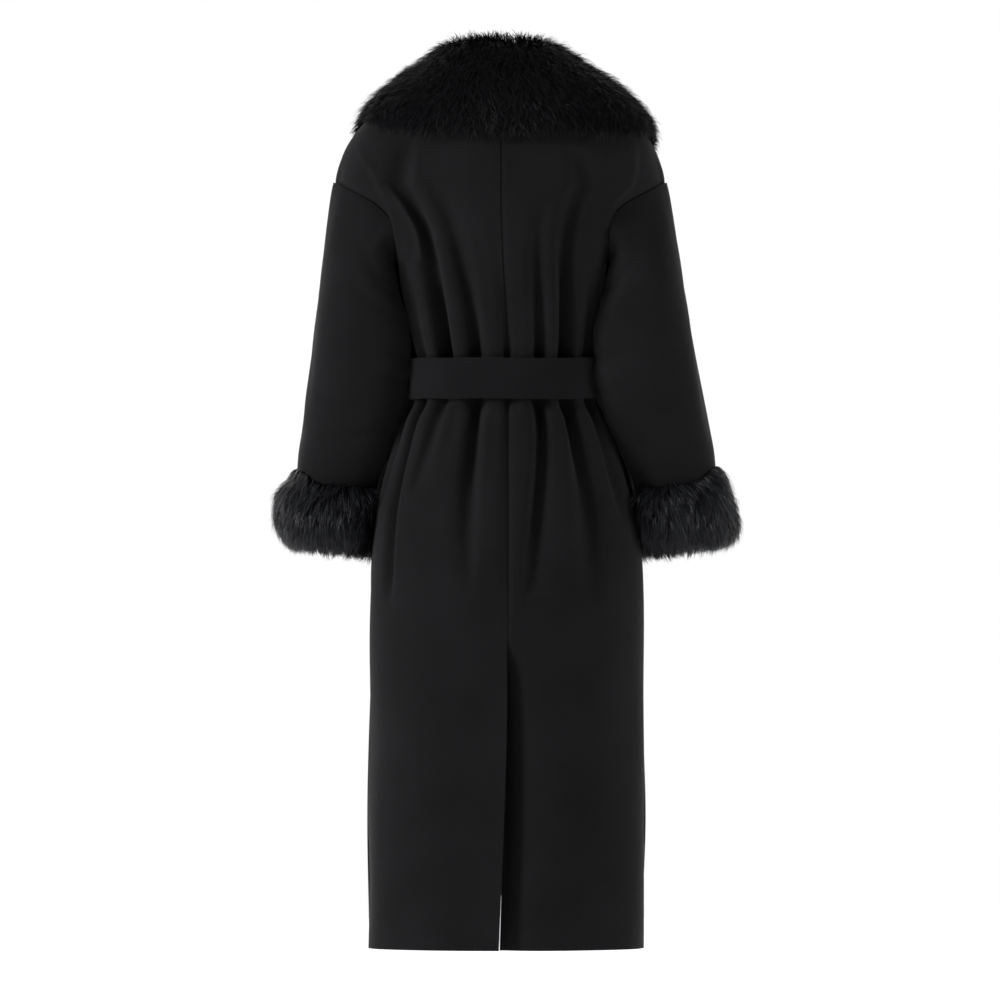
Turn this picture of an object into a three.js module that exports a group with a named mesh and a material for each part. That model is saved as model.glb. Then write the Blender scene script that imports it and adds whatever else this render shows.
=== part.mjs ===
// A long belted coat with a fur shawl collar and turned-back fur cuffs, filled out as it is when worn.
// Millimetres, +Z up. The origin is the middle of the neck opening at the level of the nape seam.
// The coat's front faces -Y and its left sleeve is on the +X side.
import * as THREE from "three";

// Driving dimensions
const WALL = 3; // double-faced wool
const SEAM_GAP = 0.3; // parting between two sewn pieces
const HEM_Z = -1210;
const BELT_TOP_Z = -403;
const BELT_BOTTOM_Z = -459;
const BELT_THICK = 5;
const BELT_CLEAR = 0.8; // between the crests of the gathered cloth and the belt
const ARMHOLE_TOP_Z = -163;
const ARMHOLE_BOTTOM_Z = -275;
const ARMHOLE_CUT = 0.4; // how far the armhole bites into a panel, in quarters of the way round
const SQUARENESS = 2.3; // exponent of the body's superellipse sections
const UNDERLAP = 4.6; // how far the left front lies inside the right one
const VENT_TOP_Z = -789;
const COLLAR_CLEAR = 5.2; // underside of the collar's leaf over the panels
const COLLAR_NECK_CLEAR = 4.2; // the collar's stand past the panels' neck edge
const SLEEVE_SQUARENESS = 2.5;
const SLEEVE_TUBE_Z = -305; // below this the sleeve is a plain tube
const SLEEVE_END_Z = -650;
const CUFF_TOP_Z = -561;
const CUFF_BOTTOM_Z = -669;
const FUR_DEPTH = 31; // pile and pelt of a cuff at its fullest

// Helpers for numbers
const mix = (a, b, t) => a + (b - a) * t;
const clamp01 = (t) => Math.min(1, Math.max(0, t));
const smooth = (from, to, v) => {
  const t = clamp01((v - from) / (to - from));
  return t * t * (3 - 2 * t);
};

// A curve through the points (x, y) that never overshoots between them (monotone cubic).
function monotone(points) {
  const p = [...points].sort((a, b) => a[0] - b[0]);
  const step = p.slice(1).map((q, i) => (q[1] - p[i][1]) / (q[0] - p[i][0]));
  const slope = p.map((_, i) => {
    if (i === 0) return step[0];
    if (i === p.length - 1) return step[i - 1];
    const [a, b] = [step[i - 1], step[i]];
    return a * b <= 0 ? 0 : (2 * a * b) / (a + b);
  });
  return (x) => {
    if (x <= p[0][0]) return p[0][1];
    if (x >= p[p.length - 1][0]) return p[p.length - 1][1];
    const i = p.findIndex((q) => q[0] > x) - 1;
    const h = p[i + 1][0] - p[i][0];
    const t = (x - p[i][0]) / h;
    const u = 1 - t;
    return (
      p[i][1] * u * u * (1 + 2 * t) +
      p[i + 1][1] * t * t * (3 - 2 * t) +
      h * slope[i] * t * u * u -
      h * slope[i + 1] * t * t * u
    );
  };
}

// A table whose first column is the level z: gives one curve over z for each other column.
function table(columns, rows) {
  const made = {};
  columns.slice(1).forEach((name, i) => {
    made[name] = monotone(rows.map((row) => [row[0], row[i + 1]]));
  });
  return made;
}

// Level sections of the coat's body. halfWidth reaches the side, back and front are the depths
// either side of the side seams, and middle is where the centre back line stands in X.
const BODY = table(
  ["z", "halfWidth", "back", "front", "middle"],
  [
    [0, 68, 61, 45, 4],
    [-12, 84, 72, 56, 4],
    [-30, 112, 86, 71, 4],
    [-55, 152, 98, 84, 4],
    [-86, 190, 106, 96, 4],
    [-125, 215, 112, 108, 4],
    [ARMHOLE_TOP_Z, 225, 115, 118, 4],
    [-191, 200, 115, 125, 4],
    [-230, 172, 115, 132, 3],
    [ARMHOLE_BOTTOM_Z, 156, 115, 135, 1],
    [-340, 143, 110, 124, -3],
    [-385, 136, 102, 114, -5],
    [BELT_TOP_Z, 133, 99, 110, -5.5],
    [BELT_BOTTOM_Z, 133, 99, 110, -5.5],
    [-488, 146, 108, 116, -5.5],
    [-529, 158, 116, 122, -5.5],
    [-570, 169, 122, 127, -5.5],
    [-620, 179, 128, 131, -5.5],
    [-700, 186, 134, 136, -5.5],
    [-860, 188, 139, 141, -5.5],
    [-1040, 189, 144, 146, -5],
    [HEM_Z, 189, 148, 150, -4],
  ],
);

// Each front's edge, measured from the middle: plus falls short of it, minus crosses it.
const FRONT_EDGE = table(
  ["z", "left", "right"],
  [
    [0, 67, 67],
    [-86, 52, 52],
    [-163, 36, 36],
    [-275, 13, 13],
    [-340, 0, 0],
    [BELT_TOP_Z, -28, -28],
    [BELT_BOTTOM_Z, -44, -44],
    [-620, -62, -62],
    [-860, -42, -52],
    [-1110, 9, -9],
    [HEM_Z, 16, -4],
  ],
);

// The vent in the centre back: how far its edges part, how far the right edge tucks in, how far the
// left edge stands out, and how far both swing to the left, in quarters of the way round.
const VENT = table(
  ["z", "parting", "tuck", "lift", "swing"],
  [
    [VENT_TOP_Z, SEAM_GAP, 0, 0, 0],
    [-860, SEAM_GAP, 7, 2, 0],
    [-1050, 0.4, 11, 3, 0.014],
    [-1140, 0.7, 10, 3, 0.025],
    [HEM_Z, 2.6, 9, 3, 0.032],
  ],
);
const VENT_REACH = 0.24; // width of the tucked strip, in quarters of the way round

// Folds that the belt gathers. Each has a place above the belt and one below it, in quarters of the way
// round from the centre back (fronts: in shares of the panel, from the side), at the belt and far from it.
// above and below are the depths at the belt, up and down how far the fold runs.
const FOLD_COLUMNS = ["top", "overBelt", "underBelt", "far", "above", "below", "up", "down"];
const folds = (rows) =>
  rows.map((row) => Object.fromEntries(FOLD_COLUMNS.map((name, i) => [name, row[i]])));
const CENTRE_FOLD = [0, 0, 0, 0, 7, 6, 240, 300];
const SIDE_FOLD = [1, 1, 1, 1, 8, 7, 120, 160];
const FOLDS = {
  back_left: folds([
    CENTRE_FOLD,
    [0.255, 0.215, 0.19, 0.185, 12, 12, 250, 230],
    [0.39, 0.43, 0.45, 0.5, 13, 8, 265, 110],
    [0.62, 0.64, 0.66, 0.64, 11, 13, 150, 250],
    [0.82, 0.83, 0.84, 0.83, 10, 9, 110, 150],
    SIDE_FOLD,
  ]),
  back_right: folds([
    CENTRE_FOLD,
    [0.18, 0.19, 0.2, 0.09, 11, 13, 215, 250],
    [0.31, 0.365, 0.39, 0.42, 12, 12, 265, 240],
    [0.54, 0.59, 0.62, 0.66, 10, 10, 140, 170],
    [0.78, 0.81, 0.82, 0.84, 9, 9, 110, 130],
    SIDE_FOLD,
  ]),
  front_left: folds([
    SIDE_FOLD.with(0, 0).with(1, 0).with(2, 0).with(3, 0),
    [0.16, 0.15, 0.15, 0.17, 11, 11, 130, 190],
    [0.33, 0.3, 0.29, 0.32, 12, 12, 170, 240],
    [0.5, 0.46, 0.45, 0.5, 10, 9, 120, 150],
  ]),
  front_right: folds([
    SIDE_FOLD.with(0, 0).with(1, 0).with(2, 0).with(3, 0),
    [0.15, 0.14, 0.15, 0.15, 10, 12, 150, 170],
    [0.3, 0.28, 0.3, 0.31, 12, 11, 140, 260],
    [0.47, 0.45, 0.44, 0.48, 9, 10, 150, 180],
  ]),
};
const FRONT_PLAIN = 6; // the front's column number at its edge, past the last fold
const ARMHOLE_HOLD = 0.43; // back columns nearer the middle than this aren't moved by the armhole

// Rows of a panel, from the neck to the hem
const ARMHOLE_ROWS = 6;
const armholeZ = (turn) => {
  const middle = (ARMHOLE_TOP_Z + ARMHOLE_BOTTOM_Z) / 2;
  return middle + ((ARMHOLE_TOP_Z - ARMHOLE_BOTTOM_Z) / 2) * Math.cos(turn);
};
const NECK_ROWS = [0, -12, -30, -55, -86, -125];
const ARM_ROWS = Array.from({ length: ARMHOLE_ROWS + 1 }, (_, i) => armholeZ((i * Math.PI) / ARMHOLE_ROWS));
const BODICE_ROWS = [-308, -345, -378, BELT_TOP_Z];
const SKIRT_ROWS = [BELT_BOTTOM_Z, -474, -500, -540, -590, -660, VENT_TOP_Z, -950, -1110, -1163, HEM_Z];
const ROWS = [...NECK_ROWS, ...ARM_ROWS, ...BODICE_ROWS, ...SKIRT_ROWS];
const BACK_COLUMNS = [0, 0.25, 0.5, 0.75, 1, 1.25, 1.5, 1.75, 2, 2.25, 2.5, 2.75, 3, 3.5, 4, 4.5, 5];
const FRONT_COLUMNS = [0, 0.5, 0.75, 1, 1.25, 1.5, 1.75, 2, 2.25, 2.5, 2.75, 3, 3.5, 4.2, 5.1, FRONT_PLAIN];

// The point of the body's level section at z, s quarters of the way round from the centre back.
function bodyAt(s, z) {
  const turn = (s * Math.PI) / 2;
  const [sin, cos] = [Math.sin(turn), Math.cos(turn)];
  const round = (Math.abs(sin) ** SQUARENESS + Math.abs(cos) ** SQUARENESS) ** (-1 / SQUARENESS);
  const depth = cos > 0 ? BODY.back(z) : BODY.front(z);
  return new THREE.Vector3(BODY.middle(z) + BODY.halfWidth(z) * round * sin, depth * round * cos, z);
}

// Outward direction of the body's surface at (s, z).
function outwardAt(s, z) {
  const around = bodyAt(s + 0.01, z).sub(bodyAt(s - 0.01, z));
  const along = bodyAt(s, Math.min(z + 2, 0)).sub(bodyAt(s, z - 2));
  return along.cross(around).normalize();
}

// How far round a section the front's distance from the middle lies, in quarters from the centre front.
function quartersFromMiddle(x, z) {
  const across = Math.min(Math.abs(x) / BODY.halfWidth(z), 1);
  const deep = (1 - across ** SQUARENESS) ** (1 / SQUARENESS);
  return (Math.sign(x) * Math.atan2(across, deep)) / (Math.PI / 2);
}
function frontEdgeS(side, z) {
  const edge = side > 0 ? FRONT_EDGE.left(z) : FRONT_EDGE.right(z);
  return 2 - quartersFromMiddle(edge, z);
}

// Share of the armhole's bite at a level: half an ellipse between its top and its bottom.
function armholeBite(z) {
  const middle = (ARMHOLE_TOP_Z + ARMHOLE_BOTTOM_Z) / 2;
  const t = (z - middle) / (ARMHOLE_TOP_Z - middle);
  return Math.abs(t) >= 1 ? 0 : ARMHOLE_CUT * Math.sqrt(1 - t * t);
}

// A fold's place and depth at a level.
function foldPlace(fold, z) {
  if (z >= BELT_TOP_Z) return mix(fold.overBelt, fold.top, smooth(BELT_TOP_Z, BELT_TOP_Z + fold.up, z));
  const away = smooth(BELT_BOTTOM_Z, BELT_BOTTOM_Z - fold.down, z);
  if (z <= BELT_BOTTOM_Z) return mix(fold.underBelt, fold.far, away);
  return mix(fold.underBelt, fold.overBelt, smooth(BELT_BOTTOM_Z, BELT_TOP_Z, z));
}
function foldDepth(fold, z) {
  if (z >= BELT_TOP_Z) return fold.above * (1 - clamp01((z - BELT_TOP_Z) / fold.up)) ** 1.2;
  if (z <= BELT_BOTTOM_Z) return fold.below * (1 - clamp01((BELT_BOTTOM_Z - z) / fold.down)) ** 1.2;
  return mix(fold.below, fold.above, (z - BELT_BOTTOM_Z) / (BELT_TOP_Z - BELT_BOTTOM_Z));
}

// Depth of the troughs at column c: fold number i has its valley at c = i and its crests half-way on.
function troughAt(list, c, z) {
  const i = Math.round(c);
  return i < list.length ? foldDepth(list[i], z) * Math.cos(Math.PI * (c - i)) ** 2 : 0;
}
function placeBetween(list, c, z) {
  const i = Math.min(Math.floor(c), list.length - 2);
  return mix(foldPlace(list[i], z), foldPlace(list[i + 1], z), c - i);
}

// Where column c of a back panel runs, in quarters from the centre back: the armhole pushes
// the outer columns in, and the vent swings the inner ones.
function backS(side, list, c, z) {
  const place = placeBetween(list, c, z);
  const s = place + side * VENT.swing(z) * (1 - clamp01(place / VENT_REACH));
  if (s <= ARMHOLE_HOLD) return s;
  const room = (1 - armholeBite(z) - ARMHOLE_HOLD) / (1 - ARMHOLE_HOLD);
  return ARMHOLE_HOLD + (s - ARMHOLE_HOLD) * room;
}

// Where column c of a front panel runs: from the side or the armhole to the front's own edge.
function frontS(side, list, c, z) {
  const last = list.length - 1;
  const end = foldPlace(list[last], z);
  const share = c <= last ? placeBetween(list, c, z) : mix(end, 1, (c - last) / (FRONT_PLAIN - last));
  const start = 1 + armholeBite(z);
  return mix(start, frontEdgeS(side, z), share);
}

// How far a panel lies inside the body's envelope at s, beside its folds.
function backInset(side, s, z) {
  const strip = 1 - clamp01(s / VENT_REACH);
  return side > 0 ? -VENT.lift(z) * strip ** 3 : VENT.tuck(z) * strip * strip;
}
const frontInset = (side, s) => (side > 0 ? UNDERLAP * smooth(1.45, 1.72, s) : 0);

// One panel as outer and inner grids of points, a row for each level and a column for each place round.
function panelGrid(name) {
  const [part, sideName] = name.split("_");
  const side = sideName === "left" ? 1 : -1;
  const isBack = part === "back";
  const list = FOLDS[name];
  const columns = isBack ? BACK_COLUMNS : FRONT_COLUMNS;
  const last = columns.length - 1;
  const grid = { outer: [], inner: [] };
  for (const z of ROWS) {
    const outer = [];
    const inner = [];
    columns.forEach((c, i) => {
      const s = isBack ? backS(side, list, c, z) : frontS(side, list, c, z);
      const inset = troughAt(list, c, z) + (isBack ? backInset(side, s, z) : frontInset(side, s));
      const point = bodyAt(side * s, z);
      const out = outwardAt(side * s, z);
      point.addScaledVector(new THREE.Vector3(out.x, out.y, 0).normalize(), -inset);
      const onSideSeam = isBack ? i === last : i === 0;
      const atSeamLevel = armholeBite(z) === 0;
      if (isBack && i === 0) point.x += (side * VENT.parting(z)) / 2;
      if (onSideSeam && atSeamLevel) point.y += (isBack ? SEAM_GAP : -SEAM_GAP) / 2;
      outer.push(point);
    });
    grid.outer.push(outer);
    grid.inner.push(inner);
  }
  grid.outer.forEach((row, r) => {
    row.forEach((point, i) => {
      const out = gridNormal(grid.outer, r, i, side);
      if (isBack && i === 0) out.x = 0;
      if (i === (isBack ? last : 0) && armholeBite(ROWS[r]) === 0) out.y = 0;
      grid.inner[r].push(point.clone().addScaledVector(out.normalize(), -WALL));
    });
  });
  return grid;
}

// Outward direction at a grid's point, from its neighbours. side turns it for the mirrored half.
function gridNormal(grid, r, i, side) {
  const row = grid[r];
  const around = row[Math.min(i + 1, row.length - 1)].clone().sub(row[Math.max(i - 1, 0)]);
  const up = grid[Math.max(r - 1, 0)][i].clone().sub(grid[Math.min(r + 1, grid.length - 1)][i]);
  return up.cross(around).multiplyScalar(side).normalize();
}

// A mesh from points and triangles, turned so that its faces point out.
function solid(name, material, points, triangles) {
  const a = new THREE.Vector3();
  let volume = 0;
  triangles.forEach(([i, j, k]) => {
    volume += points[i].dot(a.crossVectors(points[j], points[k]));
  });
  const order = volume < 0 ? triangles.map(([i, j, k]) => [i, k, j]) : triangles;
  const geometry = new THREE.BufferGeometry();
  geometry.setAttribute("position", new THREE.Float32BufferAttribute(points.flatMap((p) => p.toArray()), 3));
  geometry.setIndex(order.flat());
  geometry.computeVertexNormals();
  const mesh = new THREE.Mesh(geometry, material);
  mesh.name = name;
  return mesh;
}

// A wall between an outer and an inner grid. Where round is true, each row closes on itself.
function wall(name, material, { outer, inner }, round = false) {
  const width = outer[0].length;
  const points = [...outer.flat(), ...inner.flat()];
  const at = (r, i) => r * width + (i % width);
  const inside = outer.length * width;
  const triangles = [];
  const quad = (a, b, c, d) => triangles.push([a, b, c], [a, c, d]);
  const spans = round ? width : width - 1;
  for (let r = 0; r + 1 < outer.length; r++) {
    for (let i = 0; i < spans; i++) {
      quad(at(r, i), at(r + 1, i), at(r + 1, i + 1), at(r, i + 1));
      quad(inside + at(r, i), inside + at(r, i + 1), inside + at(r + 1, i + 1), inside + at(r + 1, i));
    }
  }
  const bottom = outer.length - 1;
  for (let i = 0; i < spans; i++) {
    quad(at(0, i), at(0, i + 1), inside + at(0, i + 1), inside + at(0, i));
    quad(at(bottom, i + 1), at(bottom, i), inside + at(bottom, i), inside + at(bottom, i + 1));
  }
  if (!round) {
    for (let r = 0; r < bottom; r++) {
      quad(at(r + 1, 0), at(r, 0), inside + at(r, 0), inside + at(r + 1, 0));
      const end = width - 1;
      quad(at(r, end), at(r + 1, end), inside + at(r + 1, end), inside + at(r, end));
    }
  }
  return solid(name, material, points, triangles);
}

// A solid through a row of closed sections, joined end to end where ring is true, else capped.
function loft(name, material, sections, ring = false) {
  const size = sections[0].length;
  const points = sections.flat();
  const triangles = [];
  const spans = ring ? sections.length : sections.length - 1;
  for (let k = 0; k < spans; k++) {
    const next = (k + 1) % sections.length;
    for (let i = 0; i < size; i++) {
      const j = (i + 1) % size;
      const [a, b, c, d] = [k * size + i, k * size + j, next * size + j, next * size + i];
      triangles.push([a, b, c], [a, c, d]);
    }
  }
  if (!ring) {
    // A cap runs across the section in a strip, from its first and last points to its middle.
    const cap = (start, flip) => {
      const face = (i, j, k) => triangles.push(flip ? [k, j, i] : [i, j, k]);
      for (let low = start, high = start + size - 1; low + 1 < high; low++, high--) {
        face(low, low + 1, high);
        if (low + 1 < high - 1) face(low + 1, high - 1, high);
      }
    };
    cap(0, true);
    cap((sections.length - 1) * size, false);
  }
  return solid(name, material, points, triangles);
}

// Materials
const wool = () => new THREE.MeshStandardMaterial({ color: 0x1a1a1d, roughness: 0.95, metalness: 0 });
const fur = () => new THREE.MeshStandardMaterial({ color: 0x202126, roughness: 0.85, metalness: 0 });

const coat = new THREE.Group();

// Panels
const PANELS = Object.fromEntries(Object.keys(FOLDS).map((name) => [name, panelGrid(name)]));
for (const [name, grid] of Object.entries(PANELS)) coat.add(wall(name, wool(), grid));

// Sleeves. outer and inner are distances from the middle plane, middleY and halfDepth place the section.
const SLEEVES = {
  left: table(
    ["z", "outer", "inner", "middleY", "halfDepth"],
    [
      [SLEEVE_TUBE_Z, 248, 140, -5, 84],
      [-373, 257, 112, -12, 80],
      [-430, 263, 108, -20, 76],
      [-469, 268, 120, -28, 73],
      [-507, 272, 134, -36, 70],
      [-545, 278, 150, -43, 66],
      [-600, 282, 176, -50, 61],
      [SLEEVE_END_Z, 284, 188, -55, 59],
    ],
  ),
  right: table(
    ["z", "outer", "inner", "middleY", "halfDepth"],
    [
      [SLEEVE_TUBE_Z, 244, 135, 3, 84],
      [-373, 256, 112, 8, 82],
      [-430, 266, 112, 8, 78],
      [-469, 273, 124, 4, 74],
      [-507, 280, 140, -2, 70],
      [-545, 287, 158, -10, 66],
      [-600, 292, 182, -20, 61],
      [SLEEVE_END_Z, 295, 194, -28, 59],
    ],
  ),
};
const SLEEVE_TILT_DEG = { left: 6.5, right: 8 };
const SLEEVE_ROUND = 4 * ARMHOLE_ROWS; // points round a sleeve
const CAP_RINGS = [0.07, 0.2, 0.4, 0.66];
const CAP_LEAN = 0.18; // how far out the sleeve leaves the shoulder, for each 1 down
const ARM_LEAN = 0.1;
const UNDERARM = { out: 1.13, up: 0.15, swell: 4 }; // how the sleeve leaves the armhole's bottom
// The two rings inside the cuff, which follows them
const HIGH_RING_Z = -576;
const LOW_RING_Z = -610;
const TUBE_RINGS = [SLEEVE_TUBE_Z, -355, -405, -452, -500, -531, CUFF_TOP_Z, HIGH_RING_Z, LOW_RING_Z, SLEEVE_END_Z];
// Room kept between a sleeve and the body: more beside the belt and the cuffs' fur.
const SLEEVE_ROOM = table(
  ["z", "room"],
  [
    [SLEEVE_TUBE_Z, 4],
    [-380, 5],
    [BELT_TOP_Z, 9],
    [BELT_BOTTOM_Z, 9],
    [-480, 5],
    [-535, 6],
    [CUFF_TOP_Z, 9],
    [SLEEVE_END_Z, 10],
  ],
);

// Half width of the body's envelope at depth y and level z.
function bodyReach(y, z) {
  const deep = Math.abs(y) / (y > 0 ? BODY.back(z) : BODY.front(z));
  return deep >= 1 ? 0 : BODY.halfWidth(z) * (1 - deep ** SQUARENESS) ** (1 / SQUARENESS);
}

// Moves a point sideways until it is clear of the body's envelope by room.
function keepClear(point, side, room) {
  const middle = BODY.middle(point.z);
  const reach = bodyReach(point.y, point.z);
  if (reach > 0) point.x = middle + side * Math.max(side * (point.x - middle), reach + room);
  return point;
}

// The sleeve's section at z: turn 0 is its outer side, a quarter turn its back. grow swells it.
function sleevePoint(sideName, turn, z, grow = 0) {
  const side = sideName === "left" ? 1 : -1;
  const t = SLEEVES[sideName];
  const [sin, cos] = [Math.sin(turn), Math.cos(turn)];
  const n = SLEEVE_SQUARENESS;
  const round = (Math.abs(sin) ** n + Math.abs(cos) ** n) ** (-1 / n);
  const [outer, inner] = [t.outer(z), t.inner(z)];
  const across = ((outer - inner) / 2 + grow) * round * cos;
  const x = side * ((outer + inner) / 2 + across);
  const y = t.middleY(z) + (t.halfDepth(z) + grow) * round * sin;
  const slope = Math.tan(THREE.MathUtils.degToRad(SLEEVE_TILT_DEG[sideName]));
  const tilt = slope * smooth(SLEEVE_TUBE_Z, CUFF_TOP_Z, z);
  return new THREE.Vector3(x, y, z + across * tilt);
}

function sleeveGrid(sideName) {
  const side = sideName === "left" ? 1 : -1;
  const back = PANELS["back_" + sideName];
  const front = PANELS["front_" + sideName];
  const firstRow = NECK_ROWS.length;
  // The armhole's points from its top, down the back, and up the front, each from a panel's own edge.
  const rim = (skin) => {
    const backEdge = ARM_ROWS.map((_, r) => back[skin][firstRow + r].at(-1));
    const frontEdge = ARM_ROWS.map((_, r) => front[skin][firstRow + r][0]);
    const top = backEdge[0].clone().lerp(frontEdge[0], 0.5);
    const bottom = backEdge.at(-1).clone().lerp(frontEdge.at(-1), 0.5);
    const loop = [top, ...backEdge.slice(1, -1), bottom, ...frontEdge.slice(1, -1).reverse()];
    return loop.flatMap((p, k) => [p.clone(), p.clone().lerp(loop[(k + 1) % loop.length], 0.5)]);
  };
  const rims = { outer: rim("outer"), inner: rim("inner") };
  const centre = rims.outer.reduce((sum, p) => sum.add(p), new THREE.Vector3()).divideScalar(SLEEVE_ROUND);
  const inward = rims.outer.map((p) => centre.clone().sub(p).normalize().multiplyScalar(SEAM_GAP * 1.3));
  const turns = Array.from({ length: SLEEVE_ROUND }, (_, i) => (i * 2 * Math.PI) / SLEEVE_ROUND);
  const outer = [rims.outer.map((p, i) => p.clone().add(inward[i]))];
  const tube = (z) =>
    turns.map((turn) => keepClear(sleevePoint(sideName, turn, z), side, SLEEVE_ROOM.room(z)));
  const firstTube = tube(SLEEVE_TUBE_Z);
  for (const t of CAP_RINGS) {
    outer.push(
      turns.map((turn, i) => {
        // A cubic from the armhole, which leaves it down the shoulder or out from under the arm.
        const [from, to] = [outer[0][i], firstTube[i]];
        const under = Math.sin(turn / 2) ** 2;
        const reach = from.distanceTo(to) + UNDERARM.swell * under;
        const out = mix(CAP_LEAN, UNDERARM.out, under);
        const leave = new THREE.Vector3(side * out, 0, mix(-1, UNDERARM.up, under)).normalize();
        const arrive = new THREE.Vector3(side * ARM_LEAN, 0, -1);
        const u = 1 - t;
        return from
          .clone()
          .multiplyScalar(u * u * (1 + 2 * t))
          .addScaledVector(to, t * t * (3 - 2 * t))
          .addScaledVector(leave, reach * t * u * u)
          .addScaledVector(arrive, -reach * t * t * u);
      }),
    );
  }
  for (const z of TUBE_RINGS) outer.push(tube(z));
  const ringNormal = (r, i) => {
    const n = SLEEVE_ROUND;
    const around = outer[r][(i + 1) % n].clone().sub(outer[r][(i + n - 1) % n]);
    const up = outer[Math.max(r - 1, 0)][i].clone().sub(outer[Math.min(r + 1, outer.length - 1)][i]);
    return around.cross(up).multiplyScalar(side).normalize();
  };
  const inner = outer.map((ring, r) =>
    ring.map((p, i) =>
      r === 0 ? rims.inner[i].clone().add(inward[i]) : p.clone().addScaledVector(ringNormal(r, i), -WALL),
    ),
  );
  return { outer, inner };
}
for (const sideName of ["left", "right"]) {
  coat.add(wall("sleeve_" + sideName, wool(), sleeveGrid(sideName), true));
}

// Fur cuffs: a ring over the sleeve's end. out is the distance from the sleeve, as a share of FUR_DEPTH.
const CUFF_PROFILE = [
  { level: CUFF_TOP_Z + 1, gap: 2.0, out: 0 },
  { level: CUFF_TOP_Z + 2, gap: 0, out: 0.3 },
  { level: CUFF_TOP_Z - 12, gap: 0, out: 0.72 },
  { level: CUFF_TOP_Z - 36, gap: 0, out: 0.98 },
  { level: CUFF_TOP_Z - 70, gap: 0, out: 1 },
  { level: CUFF_BOTTOM_Z + 24, gap: 0, out: 0.84 },
  { level: CUFF_BOTTOM_Z + 6, gap: 0, out: 0.45 },
  { level: CUFF_BOTTOM_Z, gap: 0, out: 0 },
  { level: CUFF_BOTTOM_Z + 3, gap: -8, out: 0 },
  { level: SLEEVE_END_Z - 5, gap: -9, out: 0 },
  { level: SLEEVE_END_Z - 1, gap: 2.0, out: 0 },
  { level: LOW_RING_Z, gap: 2.0, out: 0 },
  { level: HIGH_RING_Z, gap: 2.0, out: 0 },
];
const CUFF_ROOM = 1.5; // between a cuff's fur and the skirt
for (const sideName of ["left", "right"]) {
  const side = sideName === "left" ? 1 : -1;
  const sections = Array.from({ length: SLEEVE_ROUND }, (_, i) => {
    const turn = (i * 2 * Math.PI) / SLEEVE_ROUND;
    return CUFF_PROFILE.map(({ level, gap, out }) => {
      const z = Math.max(level, SLEEVE_END_Z);
      const point = sleevePoint(sideName, turn, z, gap + out * FUR_DEPTH);
      point.z += level - z;
      return keepClear(point, side, gap || !out ? SLEEVE_ROOM.room(z) - gap : CUFF_ROOM);
    });
  });
  coat.add(loft("fur_cuff_" + sideName, fur(), sections, true));
}

// Fur collar. Each section goes from the neck edge out to the leaf's edge. along is the level reached
// down the front's edge, leafS and leafZ place the leaf's edge, rise is the collar's height at its roll,
// upright turns that from along the front to straight up, and depth is the fur's depth.
const COLLAR_END_Z = { left: -298, right: -386 };
const COLLAR_BACK = [0, 0.12, 0.25, 0.38, 0.5, 0.62, 0.75, 0.88, 1];
const COLLAR_BACK_FORM = {
  leafZ: monotone([
    [0, -101],
    [0.5, -96],
    [1, -84],
  ]),
  rise: monotone([
    [0, 33],
    [0.5, 27],
    [1, 14],
  ]),
};
const COLLAR_FRONT = table(
  ["along", "leafS", "leafZ", "rise", "upright", "depth"],
  [
    [0, 1, -84, 14, 0.9, 20],
    [-30, 1.22, -108, 11, 0.6, 22],
    [-86, 1.46, -154, 9, 0.3, 23],
    [-150, 1.57, -205, 7, 0.1, 23],
    [-215, 1.62, -254, 6, 0, 22],
    [-275, 1.7, -304, 5, 0, 20],
    [-340, 1.8, -358, 4, 0, 18],
    [-392, 1.9, -394, 3, 0, 14],
  ],
);
const COLLAR_FRONT_STEPS = 14;
// Points round a section: share of the way to the leaf's edge, height over the panel and share of the rise.
const COLLAR_SECTION = [
  { way: 0, high: 0, rise: 0, clear: true },
  { way: 0.25, high: 0, rise: 0, clear: true },
  { way: 0.5, high: 0, rise: 0, clear: true },
  { way: 0.74, high: 0, rise: 0, clear: true },
  { way: 0.95, high: 0, rise: 0, clear: true },
  { way: 1, high: 0.3, rise: 0 },
  { way: 0.95, high: 0.52, rise: 0 },
  { way: 0.78, high: 0.84, rise: 0 },
  { way: 0.52, high: 1, rise: 0.04 },
  { way: 0.26, high: 1, rise: 0.22 },
  { way: 0.08, high: 0.84, rise: 0.66 },
  { way: 0, high: 0.3, rise: 1 },
  { way: 0, high: -0.2, rise: 0.72 },
  { way: 0, high: -0.26, rise: 0.1 },
];
function collarSection(sideName, neckS, neckZ, form) {
  const side = sideName === "left" ? 1 : -1;
  const on = (s, z, high) =>
    bodyAt(side * s, z).addScaledVector(outwardAt(side * s, z), high - (s > 1 ? frontInset(side, s) : 0));
  const neck = on(neckS, neckZ, 0);
  const nearby = on(mix(neckS, form.leafS, 0.12), mix(neckZ, form.leafZ, 0.12), 0);
  const away = neck.clone().sub(nearby).normalize();
  const up = away.lerp(new THREE.Vector3(0, 0, 1), form.upright).normalize();
  return COLLAR_SECTION.map(({ way, high, rise, clear }) => {
    const lift = clear ? (way === 0 ? COLLAR_CLEAR / 2 : COLLAR_CLEAR) : high * form.depth;
    const point = on(mix(neckS, form.leafS, way), mix(neckZ, form.leafZ, way), lift);
    const raised = rise * form.rise + (way === 0 ? COLLAR_NECK_CLEAR : 0);
    return point.addScaledVector(up, raised);
  });
}
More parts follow.
